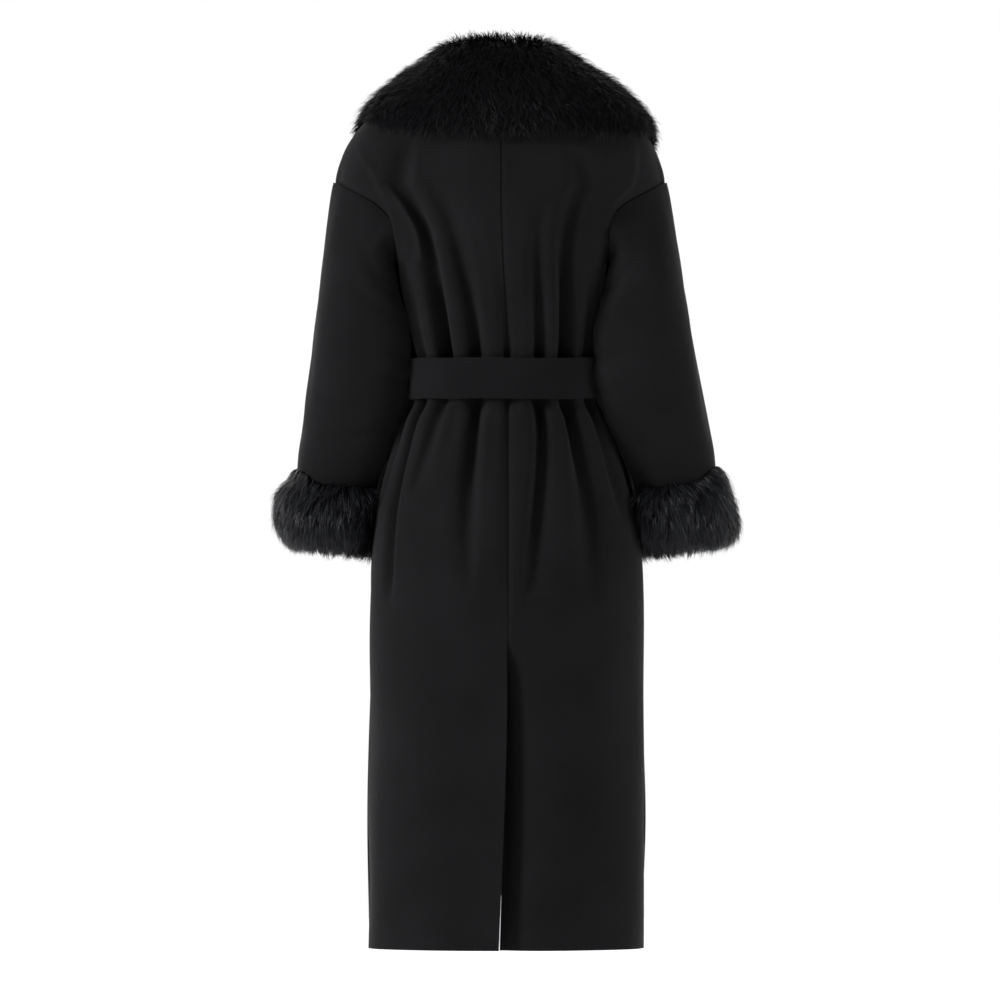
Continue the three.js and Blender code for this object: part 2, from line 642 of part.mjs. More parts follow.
function collarHalf(sideName) {
  // The right shoulder's fur hangs lower and is fuller than the left one's.
  const [droop, fuller] = sideName === "right" ? [18, 6] : [-10, 3];
  const back = COLLAR_BACK.map((s) =>
    collarSection(sideName, s, 0, {
      leafS: s,
      leafZ: COLLAR_BACK_FORM.leafZ(s) - droop * s * s,
      rise: COLLAR_BACK_FORM.rise(s),
      upright: mix(1, 0.9, s),
      depth: mix(26, 20 + fuller, s),
    }),
  );
  const front = Array.from({ length: COLLAR_FRONT_STEPS + 1 }, (_, k) => {
    const share = k / COLLAR_FRONT_STEPS;
    const z = COLLAR_END_Z[sideName] * share ** 1.5;
    const f = COLLAR_FRONT;
    const narrow = 1 - 0.35 * smooth(0.75, 1, share);
    const edge = frontEdgeS(sideName === "left" ? 1 : -1, z);
    const shoulder = 1 - smooth(0, 120, -z);
    return collarSection(sideName, edge, z, {
      leafS: mix(edge, f.leafS(z), narrow),
      leafZ: f.leafZ(z) - droop * shoulder,
      rise: f.rise(z),
      upright: f.upright(z),
      depth: (f.depth(z) + fuller * shoulder) * (1 - 0.4 * smooth(0.85, 1, share)),
    });
  });
  return [...back, ...front];
}
const collarSections = [...collarHalf("right").slice(1).reverse(), ...collarHalf("left")];
coat.add(loft("fur_collar", fur(), collarSections));

// Belt: a band round the gathered waist, a plain knot in front and two hanging ends.
const BELT_ROUND = 56;
const beltSections = Array.from({ length: BELT_ROUND }, (_, i) => {
  const s = (i * 4) / BELT_ROUND;
  const at = (z, out) => {
    const flat = outwardAt(s, (BELT_TOP_Z + BELT_BOTTOM_Z) / 2).setZ(0).normalize();
    return bodyAt(s, z).addScaledVector(flat, out);
  };
  const [near, far] = [BELT_CLEAR, BELT_CLEAR + BELT_THICK];
  return [
    at(BELT_TOP_Z, near),
    at(BELT_TOP_Z, far - 1),
    at(BELT_TOP_Z - 3, far),
    at(BELT_BOTTOM_Z + 3, far),
    at(BELT_BOTTOM_Z, far - 1),
    at(BELT_BOTTOM_Z, near),
  ];
});
coat.add(loft("belt_band", wool(), beltSections, true));

const KNOT = { wide: 50, tall: 60, deep: 24, around: 16, exponent: 2.6 };
const KNOT_LEVELS = [0, 0.1, 0.28, 0.5, 0.72, 0.9, 1];
const beltMiddleZ = (BELT_TOP_Z + BELT_BOTTOM_Z) / 2;
const beltFace = BODY.front(beltMiddleZ) + BELT_CLEAR + BELT_THICK;
const KNOT_CLEAR = 0.7; // between the knot's back and the band
const knotY = -(beltFace + KNOT_CLEAR + KNOT.deep / 2);
const knotMiddle = new THREE.Vector3(BODY.middle(beltMiddleZ), knotY, beltMiddleZ);
const knotSections = KNOT_LEVELS.map((level) => {
  const up = level * 2 - 1;
  const swell = Math.max(1 - Math.abs(up) ** KNOT.exponent, 0.12) ** (1 / KNOT.exponent);
  return Array.from({ length: KNOT.around }, (_, i) => {
    const turn = (i * 2 * Math.PI) / KNOT.around;
    const [sin, cos] = [Math.sin(turn), Math.cos(turn)];
    const n = KNOT.exponent;
    const round = (Math.abs(sin) ** n + Math.abs(cos) ** n) ** (-1 / n);
    return new THREE.Vector3(
      knotMiddle.x + (KNOT.wide / 2) * swell * round * cos,
      knotMiddle.y + (KNOT.deep / 2) * swell * round * sin,
      knotMiddle.z + (KNOT.tall / 2) * up,
    );
  });
});
coat.add(loft("belt_knot", wool(), knotSections));

// A hanging end: middle is its distance from the knot's middle, out its height over the front.
const TAIL = table(
  ["z", "middle", "wide", "out"],
  [
    [-461.5, 12, 20, 17],
    [-480, 14, 25, 12],
    [-520, 22, 38, 6],
    [-600, 33, 54, 3.5],
    [-830, 40, 57, 3],
  ],
);
const TAIL_LEVELS = [-461.5, -475, -492, -520, -560, -620, -700, -770];
const TAIL_THICK = 4.5;
const TAIL_ENDS = { left: -792, right: -826 };
for (const [sideName, end] of Object.entries(TAIL_ENDS)) {
  const side = sideName === "left" ? 1 : -1;
  const sections = [...TAIL_LEVELS, end].map((z) => {
    const edge = (across, out) => {
      const x = side * TAIL.middle(z) + (across * TAIL.wide(z)) / 2;
      const s = 2 - quartersFromMiddle(x, z);
      return bodyAt(s, z).addScaledVector(outwardAt(s, z).setZ(0).normalize(), out);
    };
    const low = TAIL.out(z);
    const high = low + TAIL_THICK;
    return [edge(-1, low), edge(0, low), edge(1, low), edge(1, high), edge(0, high), edge(-1, high)];
  });
  coat.add(loft("belt_tail_" + sideName, wool(), sections));
}

export default coat;
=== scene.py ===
"""A long belted wool coat with a fur shawl collar and turned-back fur cuffs, hollow as when worn.

Each piece is a surface over a grid of two parameters, worked out from the coat's own sizes in millimetres:
+Z is up, the front faces -Y and the left sleeve is on the +X side. Meshes are made in metres.
"""

import logging
import math
from dataclasses import dataclass, field
from enum import Enum

import bmesh
import bpy
import numpy as np
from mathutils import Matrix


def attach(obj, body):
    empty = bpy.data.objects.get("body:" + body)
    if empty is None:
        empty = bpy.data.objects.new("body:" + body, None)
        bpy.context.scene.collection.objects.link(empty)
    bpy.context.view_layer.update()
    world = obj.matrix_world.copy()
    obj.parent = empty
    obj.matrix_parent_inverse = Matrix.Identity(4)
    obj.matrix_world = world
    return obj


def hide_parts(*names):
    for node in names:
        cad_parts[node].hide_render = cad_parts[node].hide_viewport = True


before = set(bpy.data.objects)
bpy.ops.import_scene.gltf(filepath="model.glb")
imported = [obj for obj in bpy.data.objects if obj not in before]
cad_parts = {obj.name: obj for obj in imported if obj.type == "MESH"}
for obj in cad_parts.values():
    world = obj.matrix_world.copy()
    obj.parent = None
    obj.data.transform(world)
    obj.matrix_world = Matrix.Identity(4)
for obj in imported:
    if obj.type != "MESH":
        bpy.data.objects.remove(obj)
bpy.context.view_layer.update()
LOG = logging.getLogger("coat")
Array = np.ndarray
Object, Material, Tree = bpy.types.Object, bpy.types.Material, bpy.types.NodeTree

MM = 0.001
WALL = 3.0  # double-faced wool
RIM_ROUNDING = 0.5
SEAM_GAP = 0.3
HEM_Z = -1210.0
VENT_TOP_Z = -789.0
BELT_TOP_Z, BELT_BOTTOM_Z = -403.0, -459.0
BELT_MIDDLE_Z = (BELT_TOP_Z + BELT_BOTTOM_Z) / 2
ARMHOLE_TOP_Z, ARMHOLE_BOTTOM_Z = -163.0, -275.0
ARMHOLE_MIDDLE_Z = (ARMHOLE_TOP_Z + ARMHOLE_BOTTOM_Z) / 2
ARMHOLE_HALF = ARMHOLE_TOP_Z - ARMHOLE_MIDDLE_Z
ARMHOLE_CUT = 0.4  # how far the armhole cuts into a panel, in quarters of the way round the body
VENT_REACH = 0.24  # how far the vent's edges shape a back, in quarters
UNDERLAP = 4.6  # how far the left front lies under the right one
LAP_FROM, LAP_TO = 1.45, 1.72  # the quarters between which it sinks to there
QUARTER = 200.0  # millimetres that a quarter of the way round counts for in creases and unevenness
ROUND_ARM = 430.0  # and the whole way round an arm


class Side(Enum):
    """The wearer's left is at +X, the right at -X."""

    LEFT = 1
    RIGHT = -1

    @property
    def word(self) -> str:
        """The side's name in node names."""
        return self.name.lower()


class Hold(Enum):
    """How a sheet of cloth is held."""

    HUNG = "hung"
    DRAPED = "draped"
    GATHERED = "gathered"
    STRETCHED = "stretched"


class Curve:
    """A curve through points (x, y) that never overshoots between them: a monotone cubic."""

    def __init__(self, xs: list[float], ys: list[float]) -> None:
        """Sorts the points by x and gives each the harmonic mean of the slopes beside it.

        Args:
            xs: the points' places.
            ys: the values there.
        """
        order = np.argsort(xs)
        self.x, self.y = np.array(xs, float)[order], np.array(ys, float)[order]
        step = np.diff(self.y) / np.diff(self.x)
        a, b = step[:-1], step[1:]
        middle = np.where(a * b > 0, 2 * a * b / np.where(a + b == 0, 1, a + b), 0)
        self.slope = np.concatenate([step[:1], middle, step[-1:]])

    def __call__(self, x: Array | float) -> Array:
        """The curve's value at x, held level past its ends."""
        x = np.clip(x, self.x[0], self.x[-1])
        i = np.clip(np.searchsorted(self.x, x, side="right") - 1, 0, len(self.x) - 2)
        h = self.x[i + 1] - self.x[i]
        t = (x - self.x[i]) / h
        u = 1 - t
        return (
            self.y[i] * u * u * (1 + 2 * t)
            + self.y[i + 1] * t * t * (3 - 2 * t)
            + h * t * u * (self.slope[i] * u - self.slope[i + 1] * t)
        )


def levels(names: str, rows: list[tuple[float, ...]]) -> dict[str, Curve]:
    """One curve for each named column of a table, over the table's first column.

    Args:
        names: the names of the columns after the first.
        rows: the table.

    Returns:
        Name to curve.
    """
    columns = list(zip(*rows))
    return {name: Curve(list(columns[0]), list(columns[i + 1])) for i, name in enumerate(names.split())}


def smooth(start: float, end: float, value: Array | float) -> Array:
    """0 before start, 1 after end, and an S-curve between them."""
    t = np.clip((np.asarray(value, float) - start) / (end - start), 0, 1)
    return t * t * (3 - 2 * t)


def bell(value: Array, width: float) -> Array:
    """1 at 0, and a Gaussian fall to 1/e at width."""
    return np.exp(-((value / width) ** 2))


def unit(v: Array) -> Array:
    """Vectors of length 1 along the last axis."""
    return v / np.maximum(np.linalg.norm(v, axis=-1, keepdims=True), 1e-9)


def level_out(v: Array) -> Array:
    """Unit vectors along the level part of v."""
    return unit(v * [1, 1, 0])


def turns(count: int) -> Array:
    """Even turns round a ring."""
    return np.linspace(0, 2 * math.pi, count, endpoint=False)


def superellipse(turn: Array, n: float) -> tuple[Array, Array]:
    """The cosine and sine of a turn, pushed out from a circle to a superellipse of exponent n."""
    sin, cos = np.sin(turn), np.cos(turn)
    push = (np.abs(sin) ** n + np.abs(cos) ** n) ** (-1 / n)
    return push * cos, push * sin


def ripple(a: Array, b: Array, seed: int) -> Array:
    """Soft uneven relief between about -1 and 1: seven sine waves of random heading over (a, b).

    Args:
        a: distance across the cloth, in millimetres.
        b: distance along it.
        seed: chooses the waves.

    Returns:
        The relief, in the shape of a.
    """
    rng = np.random.default_rng(seed)
    total = np.zeros(np.broadcast(a, b).shape)
    for _ in range(7):
        heading, length, phase = rng.uniform(0, math.pi), rng.uniform(70, 240), rng.uniform(0, 2 * math.pi)
        across = a * math.cos(heading) + b * 0.6 * math.sin(heading)
        total += np.sin(across * 2 * math.pi / length + phase)
    return total / 4


@dataclass(frozen=True)
class Crease:
    """A soft trough, or a ridge where deep is below 0, from one place to another over (across, z)."""

    across0: float
    z0: float
    across1: float
    z1: float
    wide: float
    deep: float

    def relief(self, across: Array, z: Array, scale: float) -> Array:
        """The trough's depth at each point: a bell across its line, fading out at both ends.

        Args:
            across: the first coordinate of each point.
            z: its level.
            scale: millimetres to a unit of across.

        Returns:
            Depth in millimetres.
        """
        a, b = np.array([self.across0 * scale, self.z0]), np.array([self.across1 * scale, self.z1])
        line = b - a
        length = float(np.hypot(*line))
        px, pz = across * scale - a[0], z - a[1]
        t = np.clip((px * line[0] + pz * line[1]) / length**2, -0.2, 1.2)
        off = np.hypot(px - t * line[0], pz - t * line[1])
        fade = smooth(-0.15, 0.3, t) * (1 - smooth(0.6, 1.15, t))
        return self.deep * fade * bell(off, self.wide)


# The body's sections by level.
BODY_LEVELS = [
    (0, 68, 61, 45, 4),
    (-12, 84, 72, 56, 4),
    (-30, 112, 86, 71, 4),
    (-55, 152, 98, 84, 4),
    (-86, 190, 106, 96, 4),
    (-125, 215, 112, 108, 4),
    (ARMHOLE_TOP_Z, 225, 115, 118, 4),
    (-191, 200, 115, 125, 4),
    (-230, 172, 115, 132, 3),
    (ARMHOLE_BOTTOM_Z, 156, 115, 135, 1),
    (-340, 143, 110, 124, -3),
    (-385, 136, 102, 114, -5),
    (BELT_TOP_Z, 133, 99, 110, -5.5),
    (BELT_BOTTOM_Z, 133, 99, 110, -5.5),
    (-488, 146, 108, 116, -5.5),
    (-529, 158, 116, 122, -5.5),
    (-570, 169, 122, 127, -5.5),
    (-620, 179, 128, 131, -5.5),
    (-700, 186, 134, 136, -5.5),
    (-860, 188, 139, 141, -5.5),
    (-1040, 189, 144, 146, -5),
    (HEM_Z, 189, 148, 150, -4),
]


def crease_table(rows: dict[object, list[tuple[float, ...]]]) -> dict[object, list[Crease]]:
    """The creases of a table, under the same keys."""
    return {key: [Crease(*row) for row in found] for key, found in rows.items()}


@dataclass(frozen=True)
class Body:
    """The coat's body as level superellipse sections, round quarters s from the centre back."""

    squareness: float = 2.3
    at_level: dict[str, Curve] = field(
        default_factory=lambda: levels("half_width back front middle", BODY_LEVELS)
    )

    def at(self, s: Array, z: Array) -> Array:
        """Points on the section at z: (sin, cos) of the turn, pushed out to a superellipse."""
        s, z = np.broadcast_arrays(np.asarray(s, float), np.asarray(z, float))
        deep, across = superellipse(s * math.pi / 2, self.squareness)
        depth = np.where(deep > 0, self.at_level["back"](z), self.at_level["front"](z))
        x = self.at_level["middle"](z) + self.at_level["half_width"](z) * across
        return np.stack([x, depth * deep, z], axis=-1)

    def outward(self, s: Array, z: Array) -> Array:
        """Unit directions out of the surface, from the slopes round and along it."""
        around = self.at(s + 0.01, z) - self.at(s - 0.01, z)
        along = self.at(s, np.minimum(z + 2, 0)) - self.at(s, z - 2)
        return unit(np.cross(along, around))

    def quarters(self, x: Array, z: Array) -> Array:
        """How far round the section x lies from the centre line, in quarters."""
        across = np.minimum(np.abs(x) / self.at_level["half_width"](z), 1)
        deep = (1 - across**self.squareness) ** (1 / self.squareness)
        return np.sign(x) * np.arctan2(across, deep) / (math.pi / 2)

    def reach(self, y: Array, z: Array) -> Array:
        """Half width of the section at depth y, 0 where y is past it."""
        depth = np.where(y > 0, self.at_level["back"](z), self.at_level["front"](z))
        deep = np.minimum(np.abs(y) / depth, 1)
        return self.at_level["half_width"](z) * (1 - deep**self.squareness) ** (1 / self.squareness)


BODY = Body()
FRONT_EDGE = levels(
    "left right",
    [
        (0, 67, 67),
        (-86, 52, 52),
        (-163, 36, 36),
        (-275, 13, 13),
        (-340, 0, 0),
        (BELT_TOP_Z, -28, -28),
        (BELT_BOTTOM_Z, -44, -44),
        (-620, -62, -62),
        (-860, -42, -52),
        (-1110, 9, -9),
        (HEM_Z, 16, -4),
    ],
)
VENT = levels(
    "parting tuck lift swing",
    [
        (VENT_TOP_Z, SEAM_GAP, 0, 0, 0),
        (-860, SEAM_GAP, 7, 2, 0),
        (-1050, 0.4, 11, 3, 0.014),
        (-1140, 0.3, 10, 3, 0.025),
        (HEM_Z, 0.9, 9, 3, 0.032),
    ],
)


def armhole_bite(z: Array) -> Array:
    """How far the armhole cuts into a panel at z, in quarters: half an ellipse between its ends."""
    t = np.clip((z - ARMHOLE_MIDDLE_Z) / ARMHOLE_HALF, -1, 1)
    return ARMHOLE_CUT * np.sqrt(1 - t * t)


def armhole_z(turn: Array) -> Array:
    """Level of the armhole's rim at a turn round it, 0 at its top and pi at its bottom."""
    return ARMHOLE_MIDDLE_Z + ARMHOLE_HALF * np.cos(turn)


def underlap(s: Array) -> Array:
    """How far the left front lies under the right one at s quarters from the centre back."""
    return UNDERLAP * smooth(LAP_FROM, LAP_TO, s)


def from_belt(z: Array) -> Array:
    """Distance from the belt's nearer edge."""
    return np.minimum(np.abs(z - BELT_TOP_Z), np.abs(z - BELT_BOTTOM_Z))


def front_edge_s(side: Side, z: Array) -> Array:
    """Where a front's edge runs, in quarters from the centre back."""
    return 2 - BODY.quarters(FRONT_EDGE[side.word](z), z)


FOLD_FADE = 0.5  # how a fold's depth dies away from the belt: below 1 it holds its depth for longer
FOLD_DEEPER = 1.45  # the cloth's folds against the plain solids' ones
VENT_DEEPER = 2.6  # and the vent's tucked edge


@dataclass(frozen=True)
class Fold:
    """A fold that the belt gathers: its places above and below the belt, and its depths and lengths there."""

    top: float
    over_belt: float
    under_belt: float
    far: float
    above: float
    below: float
    up: float
    down: float

    def place(self, z: Array) -> Array:
        """Where the fold runs at each level."""
        above = self.over_belt + (self.top - self.over_belt) * smooth(BELT_TOP_Z, BELT_TOP_Z + self.up, z)
        away = smooth(-BELT_BOTTOM_Z, self.down - BELT_BOTTOM_Z, -z)
        below = self.under_belt + (self.far - self.under_belt) * away
        band = self.under_belt + (self.over_belt - self.under_belt) * smooth(BELT_BOTTOM_Z, BELT_TOP_Z, z)
        return np.where(z >= BELT_TOP_Z, above, np.where(z <= BELT_BOTTOM_Z, below, band))

    def depth(self, z: Array) -> Array:
        """How deep the fold is at each level: full at the belt and fading away from it."""
        above = self.above * (1 - np.clip((z - BELT_TOP_Z) / self.up, 0, 1)) ** FOLD_FADE
        below = self.below * (1 - np.clip((BELT_BOTTOM_Z - z) / self.down, 0, 1)) ** FOLD_FADE
        share = np.clip((z - BELT_BOTTOM_Z) / (BELT_TOP_Z - BELT_BOTTOM_Z), 0, 1)
        band = self.below + (self.above - self.below) * share
        return np.where(z >= BELT_TOP_Z, above, np.where(z <= BELT_BOTTOM_Z, below, band))


CENTRE_FOLD = Fold(0, 0, 0, 0, 7, 6, 240, 300)
SIDE_FOLD = Fold(1, 1, 1, 1, 8, 7, 120, 160)
FRONT_SIDE_FOLD = Fold(0, 0, 0, 0, 8, 7, 120, 160)
FOLDS = {
    "back_left": [
        CENTRE_FOLD,
        Fold(0.255, 0.2, 0.19, 0.185, 14, 17, 250, 260),
        Fold(0.39, 0.43, 0.45, 0.5, 19, 10, 300, 130),
        Fold(0.62, 0.64, 0.66, 0.64, 5, 19, 150, 270),
        Fold(0.82, 0.83, 0.84, 0.83, 10, 9, 110, 150),
        SIDE_FOLD,
    ],
    "back_right": [
        CENTRE_FOLD,
        Fold(0.18, 0.215, 0.21, 0.09, 13, 18, 215, 270),
        Fold(0.31, 0.39, 0.4, 0.42, 17, 17, 285, 280),
        Fold(0.54, 0.59, 0.62, 0.66, 5, 10, 140, 170),
        Fold(0.78, 0.81, 0.82, 0.84, 9, 9, 110, 130),
        SIDE_FOLD,
    ],
    "front_left": [
        FRONT_SIDE_FOLD,
        Fold(0.16, 0.15, 0.15, 0.17, 11, 11, 130, 190),
        Fold(0.33, 0.3, 0.29, 0.32, 12, 12, 170, 240),
        Fold(0.5, 0.46, 0.45, 0.5, 10, 9, 120, 150),
    ],
    "front_right": [
        FRONT_SIDE_FOLD,
        Fold(0.15, 0.14, 0.15, 0.15, 10, 12, 150, 170),
        Fold(0.3, 0.28, 0.3, 0.31, 12, 11, 140, 260),
        Fold(0.47, 0.45, 0.44, 0.48, 9, 10, 150, 180),
    ],
}

# Small creases between the folds, over quarters from the centre back: shoulder drag lines and short tucks.
CREASES = crease_table(
    {
        "back_left": [
            (0.12, -190, 0.1, -396, 9, 3.0), (0.33, -160, 0.3, -330, 12, 2.6),
            (0.5, -190, 0.47, -330, 10, 3.0), (0.57, -205, 0.4, -150, 14, 2.4),
            (0.56, -240, 0.3, -215, 16, 1.8), (0.32, -462, 0.34, -540, 8, 3.6),
            (0.08, -462, 0.07, -560, 8, 2.6), (0.78, -470, 0.66, -640, 13, 3.2),
            (0.36, -560, 0.3, -900, 26, 2.2), (0.62, -650, 0.55, -1100, 34, 2.6),
            (0.16, -700, 0.14, -1150, 30, 2.0),
        ],
        "back_right": [
            (0.09, -170, 0.1, -396, 9, 3.0), (0.25, -150, 0.27, -320, 12, 2.2),
            (0.44, -150, 0.46, -300, 10, 3.2), (0.57, -200, 0.38, -140, 14, 2.2),
            (0.57, -245, 0.34, -220, 16, 1.8), (0.3, -462, 0.28, -560, 9, 3.2),
            (0.5, -466, 0.56, -600, 10, 3.4), (0.74, -470, 0.62, -620, 12, 3.2),
            (0.3, -600, 0.34, -980, 28, 2.4), (0.6, -640, 0.66, -1050, 34, 2.8),
            (0.14, -560, 0.12, -760, 16, 2.0),
        ],
        "front_left": [
            (1.45, -230, 1.66, -210, 14, 2.4), (1.3, -300, 1.42, -396, 9, 3.2),
            (1.25, -470, 1.22, -620, 12, 3.2), (1.52, -470, 1.5, -700, 14, 2.6),
            (1.4, -640, 1.42, -1080, 34, 2.6),
        ],
        "front_right": [
            (1.45, -235, 1.64, -205, 14, 2.4), (1.36, -290, 1.46, -396, 9, 3.0),
            (1.22, -470, 1.26, -600, 12, 3.4), (1.55, -468, 1.6, -640, 12, 2.6),
            (1.36, -660, 1.34, -1060, 36, 2.6),
        ],
    }
)

# Where the back's outer line runs, in quarters from the centre back.
BACK_LEDGE = {
    Side.LEFT: Curve([-107, -166, -238, -323, -396], [0.747, 0.504, 0.61, 0.72, 0.7]),
    Side.RIGHT: Curve([-108, -182, -259, -364, -396], [0.654, 0.543, 0.66, 0.714, 0.705]),
}
BACK_COLUMNS, FRONT_COLUMNS = 5, 6  # the column at a back's side seam, and at a front's own edge
ARMHOLE_HOLD = 0.43  # the quarters past which a back's columns are squeezed in beside the armhole
SEAM_STRIP = 0.15  # the share of a column that moves with a panel's edge
NO_CUT = 1e-6  # the armhole's cut at levels that it doesn't reach is below this
MOST_RAISED = 2.4  # how far a panel's small relief may stand out
TUCK_PITCH = 13.5  # from one tuck beside the belt to the next


@dataclass(frozen=True)
class Panel:
    """A front or back of the coat, over column c (a fold's valley at each whole number) and level z."""

    side: Side
    is_back: bool

    @property
    def name(self) -> str:
        """The node that this panel is."""
        return f"{'back' if self.is_back else 'front'}_{self.side.word}"

    def place(self, c: Array, z: Array) -> Array:
        """Where column c runs at level z, in quarters from the centre back.

        Between two folds it is a straight share of the way. Beside the armhole a back's outer columns are
        squeezed in, and a front's columns are spread between the side or armhole and its own edge.
        """
        folds = FOLDS[self.name]
        last = len(folds) - 1
        low = np.clip(np.floor(c).astype(int), 0, last - 1)
        places = np.stack([fold.place(z) for fold in folds])
        before, after = (np.take_along_axis(places, i[None], axis=0)[0] for i in (low, low + 1))
        between = before + (after - before) * (c - low)
        if self.is_back:
            swing = self.side.value * VENT["swing"](z)
            s = between + swing * (1 - np.clip(between / VENT_REACH, 0, 1))
            room = (1 - armhole_bite(z) - ARMHOLE_HOLD) / (1 - ARMHOLE_HOLD)
            return np.where(s <= ARMHOLE_HOLD, s, ARMHOLE_HOLD + (s - ARMHOLE_HOLD) * room)
        end = places[last]
        share = np.where(c <= last, between, end + (1 - end) * (c - last) / (FRONT_COLUMNS - last))
        start = 1 + armhole_bite(z)
        return start + (front_edge_s(self.side, z) - start) * share

    def trough(self, c: Array, z: Array) -> Array:
        """Depth of the gathered folds: squared cosines, narrower towards the belt."""
        folds = FOLDS[self.name]
        near = np.round(c).astype(int)
        wave = np.cos(math.pi * (c - near)) ** 2
        depths = np.stack([fold.depth(z) for fold in folds] + [np.zeros_like(z)])
        deep = np.take_along_axis(depths, np.minimum(near, len(folds))[None], axis=0)[0]
        narrow = 1.15 + 0.75 * bell(from_belt(z), 90) + 1.1 * smooth(-BELT_BOTTOM_Z, 60 - BELT_BOTTOM_Z, -z)
        return FOLD_DEEPER * deep * wave**narrow

    def points(self, c: Array, z: Array) -> Array:
        """The panel's outer surface, in millimetres."""
        s = self.place(c, z)
        sign = self.side.value
        inset = self.trough(c, z) + self._lap(s, z) + self._small_relief(s, z)
        p = BODY.at(sign * s, z) - level_out(BODY.outward(sign * s, z)) * inset[..., None]
        to_seam = BACK_COLUMNS - c if self.is_back else c
        at_side = np.clip(1 - to_seam / SEAM_STRIP, 0, 1) * (armhole_bite(z) < NO_CUT)
        p[..., 1] += (-SEAM_GAP if self.is_back else SEAM_GAP) * at_side
        if self.is_back:
            parting = VENT["parting"](z) - smooth(VENT_TOP_Z - 6, VENT_TOP_Z + 14, z)  # sewn above the vent
            p[..., 0] += sign * parting / 2 * np.clip(1 - c / SEAM_STRIP, 0, 1)
        return p

    def _lap(self, s: Array, z: Array) -> Array:
        """The vent's lifted and tucked edges on a back, and the left front's place under the right one."""
        if not self.is_back:
            return underlap(s) if self.side is Side.LEFT else np.zeros_like(s)
        strip = np.clip(1 - s / VENT_REACH, 0, 1) ** 3
        return strip * (-VENT["lift"](z) if self.side is Side.LEFT else VENT_DEEPER * VENT["tuck"](z))

    def _small_relief(self, s: Array, z: Array) -> Array:
        """Creases, unevenness, tucks by the belt, the back's outer line, the seams and the hem."""
        relief = sum(crease.relief(s, z, QUARTER) for crease in CREASES[self.name])
        uneven = ripple(s * QUARTER * self.side.value, z, 11 if self.is_back else 23)
        relief = relief + (0.9 + 1.2 * smooth(520, 760, -z)) * uneven
        tuck = np.sin(s * QUARTER * 2 * math.pi / TUCK_PITCH + 2.2 * np.sin(s * 9.0)) * 0.5 + 0.5
        relief += 1.5 * bell(from_belt(z), 26) * tuck * smooth(1.75, 1.6, s)
        relief = np.maximum(relief, -MOST_RAISED) * (1 - smooth(1.55, 1.75, s))
        quarter = BODY.at_level["half_width"](z) * math.pi / 2
        if self.is_back:
            proud = -0.5 if self.side is Side.LEFT else 0.8
            seam = proud * bell(s * quarter, 3.0) - 0.5 * bell(s * quarter - 8, 3.5)
            relief += self._ledge(s, z, quarter) + smooth(VENT_TOP_Z - 11, VENT_TOP_Z + 9, z) * seam
        relief += 1.2 * bell(np.abs(s - 1) * quarter, 2.6) * (armhole_bite(z) < NO_CUT)
        return relief + 0.8 * bell(z - HEM_Z - 38, 3.0)

    def _ledge(self, s: Array, z: Array, quarter: Array) -> Array:
        """The back's outer line: a raised edge from shoulder to belt, past which the cloth falls in."""
        past = (s - BACK_LEDGE[self.side](z)) * quarter
        fall = smooth(95, 150, -z) * (1 - smooth(0, 1, (BELT_TOP_Z + 12 - z) / 30))
        fall = fall * (0.5 + 0.5 * smooth(170, 260, -z)) * (1 - smooth(0.86, 0.99, s))
        return fall * (8.0 * smooth(0, 13, past) - 3.6 * bell(past + 2, 5.0))

    def grid(self) -> tuple[Array, Array]:
        """Columns and levels, close together at the seams, at the belt and at the shoulder."""
        edge = np.array([0, 0.03, 0.06, 0.1, 0.15, 0.21])
        inner = np.arange(0.28, BACK_COLUMNS, 0.09)
        if self.is_back:
            columns = [edge, inner[inner < 4.75], BACK_COLUMNS - edge[::-1]]
        else:
            columns = [edge, inner[inner < 3.6], np.linspace(3.66, FRONT_COLUMNS, 22)]
        rows = np.concatenate(
            [
                np.linspace(0, ARMHOLE_TOP_Z, 26)[:-1],
                armhole_z(np.linspace(0, math.pi, 19)),
                np.arange(-281, BELT_TOP_Z + 6, -6.5),
                np.linspace(BELT_TOP_Z + 5, BELT_BOTTOM_Z - 5, 15),
                np.arange(-470, -640, -6.5),
                np.linspace(-642, HEM_Z, 52),
            ]
        )
        return np.meshgrid(np.concatenate(columns), rows)


SLEEVES = {
    Side.LEFT: levels(
        "outer inner middle_y half_depth",
        [
            (-305, 248, 140, -5, 84),
            (-373, 257, 112, -12, 80),
            (-430, 263, 108, -20, 76),
            (-469, 268, 120, -28, 73),
            (-507, 272, 134, -36, 70),
            (-545, 278, 150, -43, 66),
            (-600, 282, 176, -50, 61),
            (-650, 284, 188, -55, 59),
        ],
    ),
    Side.RIGHT: levels(
        "outer inner middle_y half_depth",
        [
            (-305, 244, 135, 3, 84),
            (-373, 256, 112, 8, 82),
            (-430, 266, 112, 8, 78),
            (-469, 273, 124, 4, 74),
            (-507, 280, 140, -2, 70),
            (-545, 287, 158, -10, 66),
            (-600, 292, 182, -20, 61),
            (-650, 295, 194, -28, 59),
        ],
    ),
}
SLEEVE_TILT = {Side.LEFT: math.tan(math.radians(6.5)), Side.RIGHT: math.tan(math.radians(8))}
SLEEVE_TUBE_Z, SLEEVE_END_Z = -305.0, -650.0
CUFF_TOP_Z, CUFF_BOTTOM_Z = -561.0, -669.0
SLEEVE_SQUARENESS = 2.5
RIM_GAP = 0.6  # between the armhole's edge and the sleeve's start
# The rings of a sleeve's head, as shares of its length.
HEAD_ROWS = np.concatenate([[0, 0.012, 0.03, 0.055], np.linspace(0.09, 0.96, 24)])
# Room kept between a sleeve and the body: more beside the belt and the cuffs' fur.
SLEEVE_ROOM = Curve(
    [-305, -380, BELT_TOP_Z, BELT_BOTTOM_Z, -480, -535, -561, -650],
    [4, 5, 9, 9, 5, 6, 9, 10],
)
